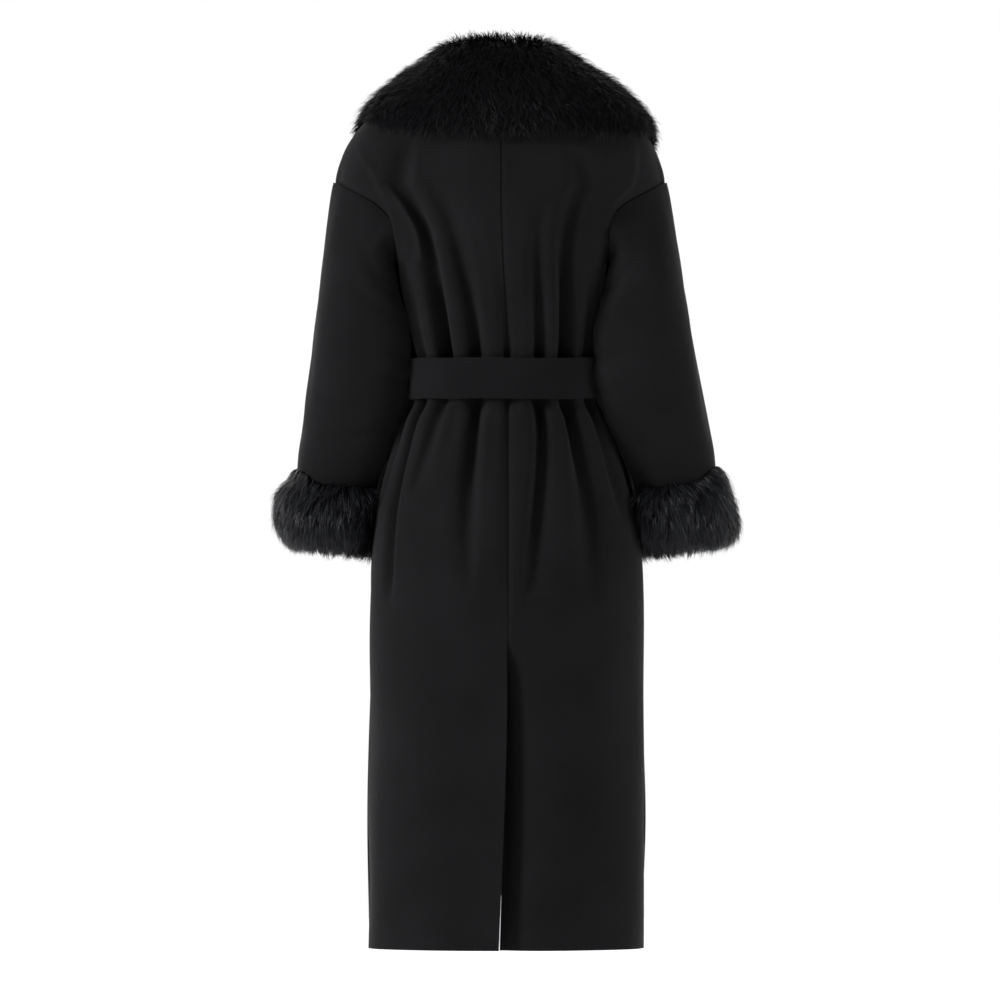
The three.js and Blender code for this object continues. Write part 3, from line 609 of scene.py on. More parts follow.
# Creases of the arms over turns (a share of the way round, 0 outside and 0.25 at the back) and the level.
SLEEVE_CREASES = crease_table(
    {
        Side.LEFT: [
            (0.24, -262, 0.4, -330, 9, 3.4), (0.2, -300, 0.36, -352, 8, 2.6),
            (0.3, -392, 0.44, -420, 9, 3.0), (0.28, -424, 0.46, -446, 8, 2.8),
            (0.1, -452, 0.3, -476, 10, 2.2), (0.16, -516, 0.38, -500, 9, 2.4),
            (0.02, -330, 0.08, -500, 16, 2.0), (0.6, -270, 0.76, -330, 10, 3.2),
            (0.56, -400, 0.8, -430, 10, 4.0), (0.55, -440, 0.78, -456, 9, 3.4),
            (0.6, -500, 0.84, -488, 9, 2.6),
        ],
        Side.RIGHT: [
            (0.22, -258, 0.4, -318, 9, 3.2), (0.18, -290, 0.34, -345, 9, 2.4),
            (0.28, -398, 0.45, -412, 9, 3.2), (0.24, -440, 0.44, -452, 9, 2.8),
            (0.12, -486, 0.32, -470, 10, 2.4), (0.2, -532, 0.4, -514, 8, 2.2),
            (0.0, -350, 0.06, -520, 16, 2.2), (0.6, -265, 0.78, -335, 10, 3.0),
            (0.58, -410, 0.82, -424, 10, 4.0), (0.56, -450, 0.8, -470, 9, 3.2),
            (0.6, -520, 0.82, -500, 9, 2.4),
        ],
    }
)


@dataclass(frozen=True)
class Sleeve:
    """A sleeve from the armhole's rim to its end inside the fur cuff."""

    side: Side

    def keep_clear(self, p: Array, room: Array) -> Array:
        """Moves points sideways until they are clear of the body's envelope by room."""
        sign, middle = self.side.value, BODY.at_level["middle"](p[..., 2])
        reach = BODY.reach(p[..., 1], p[..., 2])
        x = middle + sign * np.maximum(sign * (p[..., 0] - middle), reach + room)
        p = p.copy()
        p[..., 0] = np.where(reach > 0, x, p[..., 0])
        return p

    def tube(self, turn: Array, z: Array, grow: Array | float = 0.0) -> Array:
        """The section at z: turn 0 is the outer side and a quarter turn the back. grow swells it."""
        t = SLEEVES[self.side]
        along, deep = superellipse(turn, SLEEVE_SQUARENESS)
        outer, inner = t["outer"](z), t["inner"](z)
        across = ((outer - inner) / 2 + grow) * along
        x = self.side.value * ((outer + inner) / 2 + across)
        y = t["middle_y"](z) + (t["half_depth"](z) + grow) * deep
        return np.stack([x, y, z + across * SLEEVE_TILT[self.side] * self._lean(z)], axis=-1)

    @staticmethod
    def _lean(z: Array) -> Array:
        """Share of the sleeve's tilt at z: none at the elbow, all of it at the cuff."""
        return smooth(-SLEEVE_TUBE_Z, -CUFF_TOP_Z, -np.asarray(z, float))

    def rim(self, turn: Array) -> Array:
        """The armhole's rim, along the edge of the back for half a turn and then of the front."""
        z = armhole_z(turn)
        back = Panel(self.side, True).points(np.full_like(turn, BACK_COLUMNS), z)
        front = Panel(self.side, False).points(np.zeros_like(turn), z)
        share = np.clip(0.5 - np.sin(turn) / 0.2, 0, 1)[:, None]
        p = back * (1 - share) + front * share
        return p - unit(p.mean(0) - p) * RIM_GAP

    def points(self) -> Array:
        """The sleeve's outer surface, in millimetres: rings from the armhole down."""
        turn = turns(96)
        start = self.rim(turn)
        room = SLEEVE_ROOM(SLEEVE_TUBE_Z)
        end = self.keep_clear(self.tube(turn, np.full_like(turn, SLEEVE_TUBE_Z)), room)
        under = np.sin(turn / 2) ** 2
        reach = np.linalg.norm(end - start, axis=-1) + 4 * under
        sign = self.side.value
        leave = unit(np.stack([sign * (0.18 + 0.95 * under), 0 * under, -1 + 1.15 * under], axis=-1))
        arrive = np.array([sign * 0.1, 0, -1])
        t = HEAD_ROWS[:, None, None]
        u = 1 - t
        cap = start * u * u * (1 + 2 * t) + end * t * t * (3 - 2 * t)
        cap = cap + (leave * t * u * u - arrive * t * t * u) * reach[:, None]
        z = np.linspace(SLEEVE_TUBE_Z, SLEEVE_END_Z, 70)[:, None] + np.zeros_like(turn)
        down = self.keep_clear(self.tube(np.broadcast_to(turn, z.shape), z), SLEEVE_ROOM(z))
        p = np.concatenate([cap, down])
        return self._creased(p, np.broadcast_to(turn, p.shape[:2]) / (2 * math.pi))

    def _creased(self, p: Array, share: Array) -> Array:
        """Lowers the creases, the sewn-in head and the soft unevenness into the surface."""
        around = np.roll(p, -1, 1) - np.roll(p, 1, 1)
        out = unit(np.cross(around, np.gradient(p, axis=0))) * -self.side.value
        relief = 0.8 * ripple(share * ROUND_ARM, p[..., 2], 5 if self.side is Side.LEFT else 8)
        for crease in SLEEVE_CREASES[self.side]:
            relief += crease.relief(share, p[..., 2], ROUND_ARM)
        head = len(HEAD_ROWS)
        held = np.ones(len(p))
        held[:head] = smooth(0, 0.16, HEAD_ROWS)
        held = held * smooth(SLEEVE_END_Z, -575, p[:, :, 2].mean(1))
        depth = np.maximum(relief, -1.0) * held[:, None]
        sunk = np.zeros(len(p))
        sunk[:head] = 0.3 * bell(HEAD_ROWS, 0.02) * smooth(0, 0.012, HEAD_ROWS)
        return p - out * (depth + sunk[:, None])[..., None]


# Points round a cuff's fur: level, distance over the sleeve at its gap, and share of the fur's depth.
CUFF_PROFILE = [
    (CUFF_TOP_Z + 1, 1.2, 0),
    (CUFF_TOP_Z + 1, 0, 0.22),
    (CUFF_TOP_Z - 12, 0, 0.72),
    (CUFF_TOP_Z - 36, 0, 0.98),
    (CUFF_TOP_Z - 70, 0, 1),
    (CUFF_BOTTOM_Z + 24, 0, 0.84),
    (CUFF_BOTTOM_Z + 6, 0, 0.45),
    (CUFF_BOTTOM_Z, 0, 0),
    (CUFF_BOTTOM_Z + 3, -8, 0),
    (SLEEVE_END_Z - 5, -9, 0),
    (SLEEVE_END_Z - 1, 1.2, 0),
]
FUR_DEPTH = 31.0
CUFF_LEAST = 4.0  # the fur is nowhere thinner than this
CUFF_DROP = 17.0  # how far a cuff's top falls away from its outer side
CUFF_ROOM = 1.5  # between a cuff and the body
CUFF_SINK, COLLAR_SINK = 9.0, 8.0  # how deep the pelts lie under the fur's surface


def resample(points: Array, count: int) -> Array:
    """Points at even steps along a path through the given ones, rounded by two passes of averaging.

    Args:
        points: the path's points, path steps along axis 0.
        count: how many to return.

    Returns:
        The new points, along axis 0.
    """
    mean = points.mean(axis=tuple(range(1, points.ndim - 1))) if points.ndim > 2 else points
    length = np.concatenate([[0], np.cumsum(np.linalg.norm(np.diff(mean, axis=0), axis=-1))])
    at = np.linspace(0, length[-1], count)
    i = np.clip(np.searchsorted(length, at, side="right") - 1, 0, len(length) - 2)
    t = ((at - length[i]) / (length[i + 1] - length[i])).reshape((-1,) + (1,) * (points.ndim - 1))
    p = points[i] * (1 - t) + points[i + 1] * t
    for _ in range(2):
        p[1:-1] = (p[:-2] + 2 * p[1:-1] + p[2:]) / 4
    return p


# How full each cuff's outer side is, against the rest of it and against its plain solid.
CUFF_OUTSIDE = levels(
    "left right",
    [
        (CUFF_TOP_Z, 0.25, 0.5),
        (CUFF_TOP_Z - 12, 0.35, 0.55),
        (CUFF_TOP_Z - 36, 0.97, 0.7),
        (CUFF_TOP_Z - 70, 1, 0.92),
        (CUFF_BOTTOM_Z + 24, 1, 1.08),
        (CUFF_BOTTOM_Z + 6, 1, 1.5),
    ],
)


@dataclass(frozen=True)
class Cuff:
    """A turned-back fur cuff: its fur's outer surface round the sleeve's end."""

    sleeve: Sleeve

    def surface(self, sink: float, round_steps: int = 72, down_steps: int = 40) -> Array:
        """The fur's surface lowered by sink: rings from the cuff's top round to its mouth."""
        turn = turns(round_steps)
        from_outside = (1 - np.cos(turn)) / 2
        lower = CUFF_DROP * smooth(0.03, 0.3, from_outside)
        rings = []
        for level, gap, out in CUFF_PROFILE:
            share = (level - CUFF_BOTTOM_Z) / (CUFF_TOP_Z - CUFF_BOTTOM_Z)
            full = 1 + (CUFF_OUTSIDE[self.sleeve.side.word](level) - 1) * (1 - from_outside) ** 2
            level = level + sink * (1 - share) - lower * float(smooth(0.4, 1, share))
            z = np.maximum(level, SLEEVE_END_Z)
            depth = np.maximum(out * full * FUR_DEPTH, CUFF_LEAST) - sink * out if out else 0.0
            p = self.sleeve.tube(turn, z, gap + depth)
            p[:, 2] += level - z
            room = SLEEVE_ROOM(z) - gap if gap or not out else CUFF_ROOM + sink
            rings.append(self.sleeve.keep_clear(p, room))
        return resample(np.stack(rings), down_steps)


COLLAR_END_Z = {Side.LEFT: -298.0, Side.RIGHT: -386.0}
COLLAR_DROOP = {Side.LEFT: -10.0, Side.RIGHT: 18.0}
COLLAR_FULLER = {Side.LEFT: 3.0, Side.RIGHT: 6.0}
COLLAR_BACK = levels("leaf_z rise", [(0, -101, 33), (0.5, -96, 27), (1, -84, 14)])
COLLAR_FRONT = levels(
    "leaf_s leaf_z rise upright depth",
    [
        (0, 1, -84, 14, 0.9, 20),
        (-30, 1.22, -108, 11, 0.6, 22),
        (-86, 1.46, -154, 9, 0.3, 23),
        (-150, 1.57, -205, 7, 0.1, 23),
        (-215, 1.62, -254, 6, 0, 22),
        (-275, 1.7, -304, 5, 0, 20),
        (-340, 1.8, -358, 4, 0, 18),
        (-392, 1.9, -394, 3, 0, 14),
    ],
)
# Points round a collar's section: share of the way to the leaf's edge, height over the panel as a share of
# the fur's depth, share of the rise, and distance over the panel at the bottom.
COLLAR_SECTION = [
    (0, 0, 0, 2.6),
    (0.25, 0, 0, 5.2),
    (0.5, 0, 0, 5.2),
    (0.74, 0, 0, 5.2),
    (0.95, 0, 0, 5.2),
    (1, 0.3, 0, 0),
    (0.95, 0.52, 0, 0),
    (0.78, 0.84, 0, 0),
    (0.52, 1, 0.04, 0),
    (0.26, 1, 0.22, 0),
    (0.08, 0.84, 0.66, 0),
    (0, 0.3, 1, 0),
    (0, -0.2, 0.72, 0),
    (0, -0.26, 0.1, 0),
]
COLLAR_NECK_CLEAR = 4.2


@dataclass(frozen=True)
class CollarForm:
    """What one section of the collar needs to know."""

    neck_s: float
    neck_z: float
    leaf_s: float
    leaf_z: float
    rise: float
    upright: float
    depth: float


@dataclass(frozen=True)
class Collar:
    """The fur shawl collar: sections from the right front's end, round the neck, to the left front's end."""

    front_steps: int = 54
    back_steps: int = 44

    def forms(self, side: Side) -> list[CollarForm]:
        """The sections of one half, from the centre back down its front."""
        droop, fuller, found = COLLAR_DROOP[side], COLLAR_FULLER[side], []
        for s in np.linspace(0, 1, self.back_steps + 1):
            leaf = float(COLLAR_BACK["leaf_z"](s)) - droop * s * s
            rise = float(COLLAR_BACK["rise"](s))
            found.append(CollarForm(s, 0, s, leaf, rise, 1 - 0.1 * s, 26 + (fuller - 6) * s))
        for k in range(1, self.front_steps + 1):
            share = k / self.front_steps
            z = COLLAR_END_Z[side] * share**1.5
            front = {name: float(curve(z)) for name, curve in COLLAR_FRONT.items()}
            narrow = 1 - 0.35 * float(smooth(0.75, 1, share))
            edge = float(front_edge_s(side, np.array(z)))
            leaf_s = edge + (front["leaf_s"] - edge) * narrow
            shoulder = 1 - float(smooth(0, 120, -z))
            leaf_z = front["leaf_z"] - droop * shoulder
            depth = (front["depth"] + fuller * shoulder) * (1 - 0.4 * float(smooth(0.85, 1, share)))
            found.append(CollarForm(edge, z, leaf_s, leaf_z, front["rise"], front["upright"], depth))
        return found

    def section(self, side: Side, form: CollarForm, sink: float) -> Array:
        """One section's points, with the outer ones lowered by sink."""

        def on(share: Array, high: Array) -> Array:
            """Points over the panels at a share of the way from the neck to the leaf's edge."""
            s = form.neck_s + (form.leaf_s - form.neck_s) * share
            z = form.neck_z + (form.leaf_z - form.neck_z) * share
            if side is Side.LEFT:
                high = high - np.where(s > 1, underlap(s), 0)
            return BODY.at(side.value * s, z) + BODY.outward(side.value * s, z) * high[..., None]

        way, high, rise, low = (np.array(column, float) for column in zip(*COLLAR_SECTION))
        upper = low == 0
        neck, near = on(np.array([0, 0.12]), np.zeros(2))
        up = unit(unit(neck - near) * (1 - form.upright) + np.array([0, 0, 1.0]) * form.upright)
        sunk = sink * np.clip(high * 1.2, 0, 1)
        p = on(way * np.where(upper, 0.95, 0.93), np.where(upper, high * form.depth - sunk, low))
        raised = rise * max(form.rise - 0.6 * sink, 2) + np.where(way == 0, COLLAR_NECK_CLEAR, 0)
        return p + up * raised[:, None]

    def surface(self, sink: float, around: int = 44) -> Array:
        """The collar's surface lowered by sink: a row for each section, a column for each point."""
        right = [self.section(Side.RIGHT, form, sink) for form in self.forms(Side.RIGHT)]
        left = [self.section(Side.LEFT, form, sink) for form in self.forms(Side.LEFT)]
        rows = np.stack(right[:0:-1] + left, axis=1)
        closed = np.concatenate([rows, rows[:1]])
        return resample(closed, around + 1)[:-1].swapaxes(0, 1)


OPEN, TUBE, RING = (False, False), (False, True), (True, True)  # whether a grid's rows and columns close up


def grid_faces(rows: int, columns: int, closed: tuple[bool, bool]) -> Array:
    """Corner numbers of the quads of a grid of points."""
    r, c = np.meshgrid(np.arange(rows - 1 + closed[0]), np.arange(columns - 1 + closed[1]), indexing="ij")
    down, right = (r + 1) % rows, (c + 1) % columns
    return np.stack([r * columns + c, down * columns + c, down * columns + right, r * columns + right], -1)


def make_mesh(name: str, points: Array, faces: Array) -> Object:
    """A smoothly shaded object at the origin, whose faces all have the same number of corners.

    Args:
        name: the object's name.
        points: (n, 3), in millimetres.
        faces: (m, corners) of point numbers.

    Returns:
        The object, in the scene.
    """
    corners = faces.shape[-1]
    flat = faces.reshape(-1).astype(np.int32)
    mesh = bpy.data.meshes.new(name)
    mesh.vertices.add(len(points))
    mesh.vertices.foreach_set("co", (points * MM).astype(np.float32).ravel())
    mesh.loops.add(len(flat))
    mesh.loops.foreach_set("vertex_index", flat)
    mesh.polygons.add(len(flat) // corners)
    mesh.polygons.foreach_set("loop_start", np.arange(0, len(flat), corners, dtype=np.int32))
    mesh.update(calc_edges=True)
    mesh.polygons.foreach_set("use_smooth", np.ones(len(mesh.polygons), bool))
    mesh.validate()
    thing = bpy.data.objects.new(name, mesh)
    bpy.context.scene.collection.objects.link(thing)
    return thing


def cloth_object(name: str, grid: Array, closed: tuple[bool, bool], flip: bool = False) -> Object:
    """A grid of points as one layer of cloth. flip turns its faces over, so that they look out."""
    rows, columns = grid.shape[:2]
    faces = grid_faces(rows, columns, closed).reshape(-1, 4)
    return make_mesh(name, grid.reshape(-1, 3), faces[:, ::-1] if flip else faces)


def thicken(thing: Object, thickness: float) -> None:
    """Gives a layer of cloth its thickness, inwards, with a softly rounded rim."""
    solid = thing.modifiers.new("Thickness", "SOLIDIFY")
    solid.thickness = thickness * MM
    solid.offset = -1
    solid.use_even_offset = False
    rounded = thing.modifiers.new("Rim", "BEVEL")
    rounded.width = RIM_ROUNDING * MM
    rounded.segments = 2
    rounded.limit_method = "ANGLE"
    rounded.angle_limit = math.radians(60)


TUFT_RADIUS = 3.4
STRAND_AT = np.array([0, 0.34, 0.7, 1.0])  # a strand's three pairs of points and its tip, along it
STRAND_POINTS = 7


@dataclass(frozen=True)
class Fur:
    """Strands of fur, gathered into tufts, on a pelt's grid whose columns close up.

    lay is the grid's axis along which the fur lies, round the fur's own section, and lay_sign its direction.
    first and last bound the shares of that axis that bear fur.
    """

    grid: Array
    lay: int
    lay_sign: int
    first: float
    last: float
    seed: int
    pile: float
    length: float
    tufts: int
    in_tuft: int
    sag: float
    gather: float = 0.5
    stray: float = 0.13

    def sample(self, values: Array, r: Array, c: Array) -> Array:
        """Values of a grid at fractional row and column numbers."""
        rows, columns = values.shape[:2]
        r, c = np.clip(r, 0, rows - 1 - 1e-6), c % columns
        r0, c0 = np.floor(r).astype(int), np.floor(c).astype(int)
        c1 = (c0 + 1) % columns
        a, b = (r - r0)[:, None], (c - c0)[:, None]
        top = values[r0, c0] * (1 - b) + values[r0, c1] * b
        low = values[r0 + 1, c0] * (1 - b) + values[r0 + 1, c1] * b
        return top * (1 - a) + low * a

    def slopes(self) -> tuple[Array, Array]:
        """Differences down the rows and across the columns."""
        return np.gradient(self.grid, axis=0), np.roll(self.grid, -1, 1) - np.roll(self.grid, 1, 1)

    def frame(self) -> tuple[Array, Array]:
        """Unit outward normals and lay directions over the grid."""
        slopes = self.slopes()
        normal = unit(np.cross(*slopes))
        middle = self.grid.mean(axis=self.lay, keepdims=True)
        if np.mean(np.sum(normal * (self.grid - middle), axis=-1)) < 0:
            normal = -normal
        return normal, unit(slopes[self.lay]) * self.lay_sign

    def roots(self, rng: np.random.Generator) -> tuple[Array, Array]:
        """Row and column of each tuft, spread by area over the part that bears fur."""
        area = np.linalg.norm(np.cross(*self.slopes()), axis=-1)
        share = np.linspace(0, 1, self.grid.shape[self.lay])
        bears = (share >= self.first) & (share <= self.last)
        area = area * (bears[:, None] if self.lay == 0 else bears[None])
        flat = np.cumsum(area.ravel())
        pick = np.searchsorted(flat, rng.uniform(0, flat[-1], self.tufts))
        r, c = np.unravel_index(pick, area.shape)
        return r + rng.uniform(-0.5, 0.5, self.tufts), c + rng.uniform(-0.5, 0.5, self.tufts)

    def make(self, name: str) -> Object:
        """The strands as one object: each is a ribbon of five triangles that narrows to its tip."""
        rng = np.random.default_rng(self.seed)
        normal, lay = self.frame()
        row_size, column_size = (np.linalg.norm(slope, axis=-1).mean() / 2 for slope in self.slopes())
        tuft_r, tuft_c = self.roots(rng)
        count = self.tufts * self.in_tuft
        tuft = np.repeat(np.arange(self.tufts), self.in_tuft)
        r = tuft_r[tuft] + rng.normal(0, TUFT_RADIUS / row_size, count)
        c = tuft_c[tuft] + rng.normal(0, TUFT_RADIUS / column_size, count)
        p0, n, along = (self.sample(v, r, c) for v in (self.grid, normal, lay))
        side = unit(np.cross(n, along))
        swirl = 0.42 * ripple(p0[:, 0] * 1.6, p0[:, 2] * 1.6, self.seed + 3)
        swirl = swirl + rng.normal(0, 0.16, self.tufts)[tuft]
        swirl = swirl + rng.normal(0, self.stray, count)
        along = unit(along * np.cos(swirl)[:, None] + side * np.sin(swirl)[:, None])
        lift = rng.normal(1, 0.13, self.tufts)[tuft] * rng.uniform(0.72, 1.1, count)
        lift = lift * np.where(rng.random(count) < 0.22, rng.uniform(1.3, 2.1, count), 1)
        reach = rng.normal(1, 0.16, self.tufts)[tuft] * rng.uniform(0.75, 1.12, count) * self.length
        t = STRAND_AT[:, None, None]
        path = p0 - n * 1.0 + along * (reach[:, None] * (0.28 * t + 0.72 * t * t))
        path = path + n * ((self.pile * lift)[:, None] * (1.9 * t - 0.9 * t * t))
        path = path + np.array([0, 0, -self.sag]) * t * t
        tip = path[3].reshape(self.tufts, self.in_tuft, 3).mean(1)[tuft]
        path = path + (tip - path[3]) * self.gather * t**1.4
        heading = unit(path[[1, 2, 3, 3]] - path[[0, 1, 2, 2]])
        turn = rng.uniform(-0.7, 0.7, count)[:, None]
        face = unit(n * np.cos(turn) + side * np.sin(turn))
        width = unit(np.cross(heading, face)) * 0.5 * rng.uniform(0.7, 1.25, count)[:, None]
        shape = np.array([1.0, 0.95, 0.68])[:, None, None]
        left, right = path[:3] + width[:3] * shape, path[:3] - width[:3] * shape
        points = np.concatenate([left, right, path[3:]]).swapaxes(0, 1).reshape(-1, 3)
        ribbon = np.array([[0, 3, 4], [0, 4, 1], [1, 4, 5], [1, 5, 2], [2, 5, 6]])
        faces = (np.arange(count) * STRAND_POINTS)[:, None, None] + ribbon
        thing = make_mesh(name, points, faces.reshape(-1, 3))
        tone = rng.uniform(0, 1, self.tufts)[tuft] * 0.5 + rng.uniform(0, 1, count) * 0.5
        # 0 at a strand's root and 1 at its tip: the fur's material uses it to paint shade at the roots.
        along = np.tile(np.append(STRAND_AT[:3], STRAND_AT), count)
        for layer, values in (("tone", tone.repeat(STRAND_POINTS)), ("along", along)):
            data = thing.data.attributes.new(layer, "FLOAT", "POINT").data
            data.foreach_set("value", values.astype(np.float32))
        return thing


class Finish(Enum):
    """The colours of the coat, as sRGB."""

    WOOL = "#0a0a0b"
    BELT = "#080809"
    PELT = "#030304"
    # The dark fur colours are the strands' colour at their roots, which is painted shade, and also their
    # darkest tone; the light ones are their lightest tone.
    FUR_DARK = "#030304"
    FUR_LIGHT = "#1a1b1e"
    COLLAR_DARK = "#080809"
    COLLAR_LIGHT = "#0b0b0d"


def linear(colour: str) -> tuple[float, float, float, float]:
    """Linear RGBA of an sRGB colour written #rrggbb."""
    parts = [int(colour[i : i + 2], 16) / 255 for i in (1, 3, 5)]
    r, g, b = (v / 12.92 if v <= 0.04045 else ((v + 0.055) / 1.055) ** 2.4 for v in parts)
    return r, g, b, 1.0


Sockets = dict[str | int, object]


def add(tree: Tree, kind: str, sockets: Sockets | None = None, **settings: str) -> bpy.types.Node:
    """A new node of a tree.

    Args:
        tree: the tree.
        kind: the node's type.
        sockets: a value for each socket, or another node's output, which is linked to it.
        settings: the node's own settings.

    Returns:
        The node.
    """
    node = tree.nodes.new(kind)
    for name, value in settings.items():
        setattr(node, name, value)
    for key, value in (sockets or {}).items():
        if isinstance(value, bpy.types.NodeSocket):
            tree.links.new(value, node.inputs[key])
        else:
            node.inputs[key].default_value = value
    return node


def noise(tree: Tree, place: object, size: float, detail: float, rough: float) -> object:
    """The output of a noise texture with grains of a size in metres."""
    sockets = {"Vector": place, "Scale": 1 / size, "Detail": detail, "Roughness": rough}
    return add(tree, "ShaderNodeTexNoise", sockets).outputs[0]


def new_material(name: str) -> tuple[Material, Tree]:
    """A material without nodes, and its node tree."""
    material = bpy.data.materials.new(name)
    material.use_nodes = True
    material.node_tree.nodes.clear()
    return material, material.node_tree


def end_with_shader(tree: Tree, sockets: Sockets) -> None:
    """Ends a material's tree with a principled shader."""
    shader = add(tree, "ShaderNodeBsdfPrincipled", sockets)
    add(tree, "ShaderNodeOutputMaterial", {"Surface": shader.outputs[0]})


@dataclass(frozen=True)
class WoolFinish:
    """Double-faced wool: a short felted nap with a little lint, soft unevenness and a dull sheen."""

    name: str
    colour: Finish
    nap: float = 0.0011
    sheen: float = 0.04

    def build(self) -> Material:
        """The material."""
        material, tree = new_material(self.name)
        place = add(tree, "ShaderNodeTexCoord").outputs["Object"]
        nap, lint, broad = (
            noise(tree, place, size, detail, rough)
            for size, detail, rough in ((self.nap, 3.0, 0.6), (0.006, 2.0, 0.5), (0.09, 2.0, 0.5))
        )
        both = add(tree, "ShaderNodeMath", {0: nap, 1: lint}).outputs[0]
        bump = add(tree, "ShaderNodeBump", {"Strength": 0.35, "Distance": 0.0005, "Height": both})
        limits = {"From Min": 0.3, "From Max": 0.7, "To Min": 0.84, "To Max": 1.14}
        tone = add(tree, "ShaderNodeMapRange", {"Value": broad, **limits}).outputs[0]
        base = linear(self.colour.value)[:3]
        colour = add(tree, "ShaderNodeVectorMath", {0: base, "Scale": tone}, operation="SCALE")
        shader = {
            "Base Color": colour.outputs[0],
            "Normal": bump.outputs[0],
            "Roughness": 0.92,
            "Specular IOR Level": 0.03,
            "Sheen Weight": self.sheen,
            "Sheen Roughness": 0.45,
            "Sheen Tint": (0.25, 0.25, 0.26, 1),
        }
        end_with_shader(tree, shader)
        return material


@dataclass(frozen=True)
class FurFinish:
    """Long dark fur: roots darkened as painted shade, tips lighter, each tuft a little different."""

    name: str = "fur_strands"
    dark: Finish = Finish.FUR_DARK
    light: Finish = Finish.FUR_LIGHT
    gloss: float = 0.08

    def build(self) -> Material:
        """The material of the strands."""
        material, tree = new_material(self.name)
        tone, along = (
            add(tree, "ShaderNodeAttribute", attribute_name=name).outputs["Fac"] for name in ("tone", "along")
        )
        # The colour runs from the dark one at a strand's root to its own tone at the tip. The darker roots
        # are painted shade deep in the fur, and the tone differs at random from tuft to tuft.
        share = add(tree, "ShaderNodeMath", {0: tone, 1: along}, operation="MULTIPLY").outputs[0]
        ends = {0: share, 6: linear(self.dark.value), 7: linear(self.light.value)}
        colour = add(tree, "ShaderNodeMix", ends, data_type="RGBA").outputs[2]
        end_with_shader(tree, {"Base Color": colour, "Roughness": 0.42, "Specular IOR Level": self.gloss})
        return material

    def pelt(self) -> Material:
        """The material of the dense short undercoat."""
        material, tree = new_material(f"{self.name}_pelt")
        place = add(tree, "ShaderNodeTexCoord").outputs["Object"]
        grain = noise(tree, place, 0.002, 3.0, 0.5)
        bump = add(tree, "ShaderNodeBump", {"Strength": 0.6, "Distance": 0.001, "Height": grain}).outputs[0]
        look = {"Base Color": linear(Finish.PELT.value), "Roughness": 0.9, "Specular IOR Level": 0.02}
        end_with_shader(tree, {**look, "Normal": bump})
        return material


BELT_SQUARENESS, KNOT_SQUARENESS = 7, 2.6
TAIL_TOP_Z = -461.5
TAIL_END_Z = {Side.LEFT: -792.0, Side.RIGHT: -826.0}
TAIL = levels(
    "middle wide out",
    [(TAIL_TOP_Z, 12, 20, 17), (-480, 14, 25, 12), (-520, 22, 38, 6), (-600, 33, 54, 3.5), (-830, 40, 57, 3)],
)
TAIL_HALF_THICK = 2.25


@dataclass(frozen=True)
class Belt:
    """The tie belt: a band round the waist, a knot in front and two hanging ends."""

    clear: float = 0.8
    thick: float = 5.0

    def band(self) -> Array:
        """The band's surface: a ring of rounded sections, a little uneven along its edges."""
        s = np.linspace(0, 4, 321)[:-1]
        tall = BELT_TOP_Z - BELT_BOTTOM_Z
        over, up = superellipse(turns(40), BELT_SQUARENESS)
        middle = np.full_like(s, BELT_MIDDLE_Z)
        out = level_out(BODY.outward(s, middle))
        edge = 0.7 * ripple(s * 215, np.zeros_like(s), 31)
        z = BELT_MIDDLE_Z + up[:, None] * tall / 2 + edge * np.abs(up)[:, None]
        high = self.clear + self.thick / 2 + over[:, None] * self.thick / 2
        waves = 0.6 * ripple(s * 215 + 0 * z, z * 3, 32)
        rows = 0.45 * bell(np.abs(up) - 0.86, 0.04)[:, None]  # the seams beside the belt's edges
        face = over[:, None] > 0.5
        high = high + np.where(face, waves - rows, 0)
        base = BODY.at(s + 0 * z, z)
        base[..., :2] = BODY.at(s, middle)[None, :, :2]
        return base + out[None] * high[..., None]

    def knot(self) -> Array:
        """The knot: a soft cushion of cloth with the band's folds across its front."""
        wide, tall, deep, into_band = 50.0, 60.0, 24.0, 1.5
        y = -(float(BODY.at_level["front"](BELT_MIDDLE_Z)) + self.clear + self.thick - into_band + deep / 2)
        lat = np.linspace(-1, 1, 41)[:, None]
        swell = np.maximum(1 - np.abs(lat) ** KNOT_SQUARENESS, 0.03) ** (1 / KNOT_SQUARENESS)
        turn = turns(64)[None]
        across, back = superellipse(turn, KNOT_SQUARENESS)
        x = wide / 2 * swell * across
        z = tall / 2 * lat + 0 * turn
        fold = 1.5 * np.cos((x * 0.8 + z) / 4.6) * (np.sin(turn) < 0) * swell
        depth = deep / 2 * swell * back + np.maximum(fold, -0.2)
        x = x + float(BODY.at_level["middle"](BELT_MIDDLE_Z))
        return np.stack([x, y + depth, z + BELT_MIDDLE_Z], axis=-1)

    def tail(self, side: Side) -> Array:
        """A hanging end of the belt, from under the knot to its own end."""
        z = np.linspace(TAIL_TOP_Z, TAIL_END_Z[side], 90)[:, None]
        across, over = superellipse(turns(32)[None], BELT_SQUARENESS)
        x = side.value * TAIL["middle"](z) + across * TAIL["wide"](z) / 2
        z = z + 0 * x
        s = 2 - BODY.quarters(x, z)
        waves = 0.7 * ripple(x, z, 41 + side.value) * (over > 0)
        high = TAIL["out"](z) + TAIL_HALF_THICK * (1 + over) + waves
        return BODY.at(s, z) + level_out(BODY.outward(s, z)) * high[..., None]


def capped(name: str, grid: Array) -> Object:
    """A closed object from rings of points: the first and last ring are closed with one flat face each."""
    thing = cloth_object(name, grid, TUBE)
    model = bmesh.new()
    model.from_mesh(thing.data)
    corners, around = list(model.verts), grid.shape[1]
    for ring in (corners[:around], corners[-around:]):
        model.faces.new(ring)
    bmesh.ops.recalc_face_normals(model, faces=model.faces)
    model.to_mesh(thing.data)
    model.free()
    return thing


WHITE = (1, 1, 1, 1)


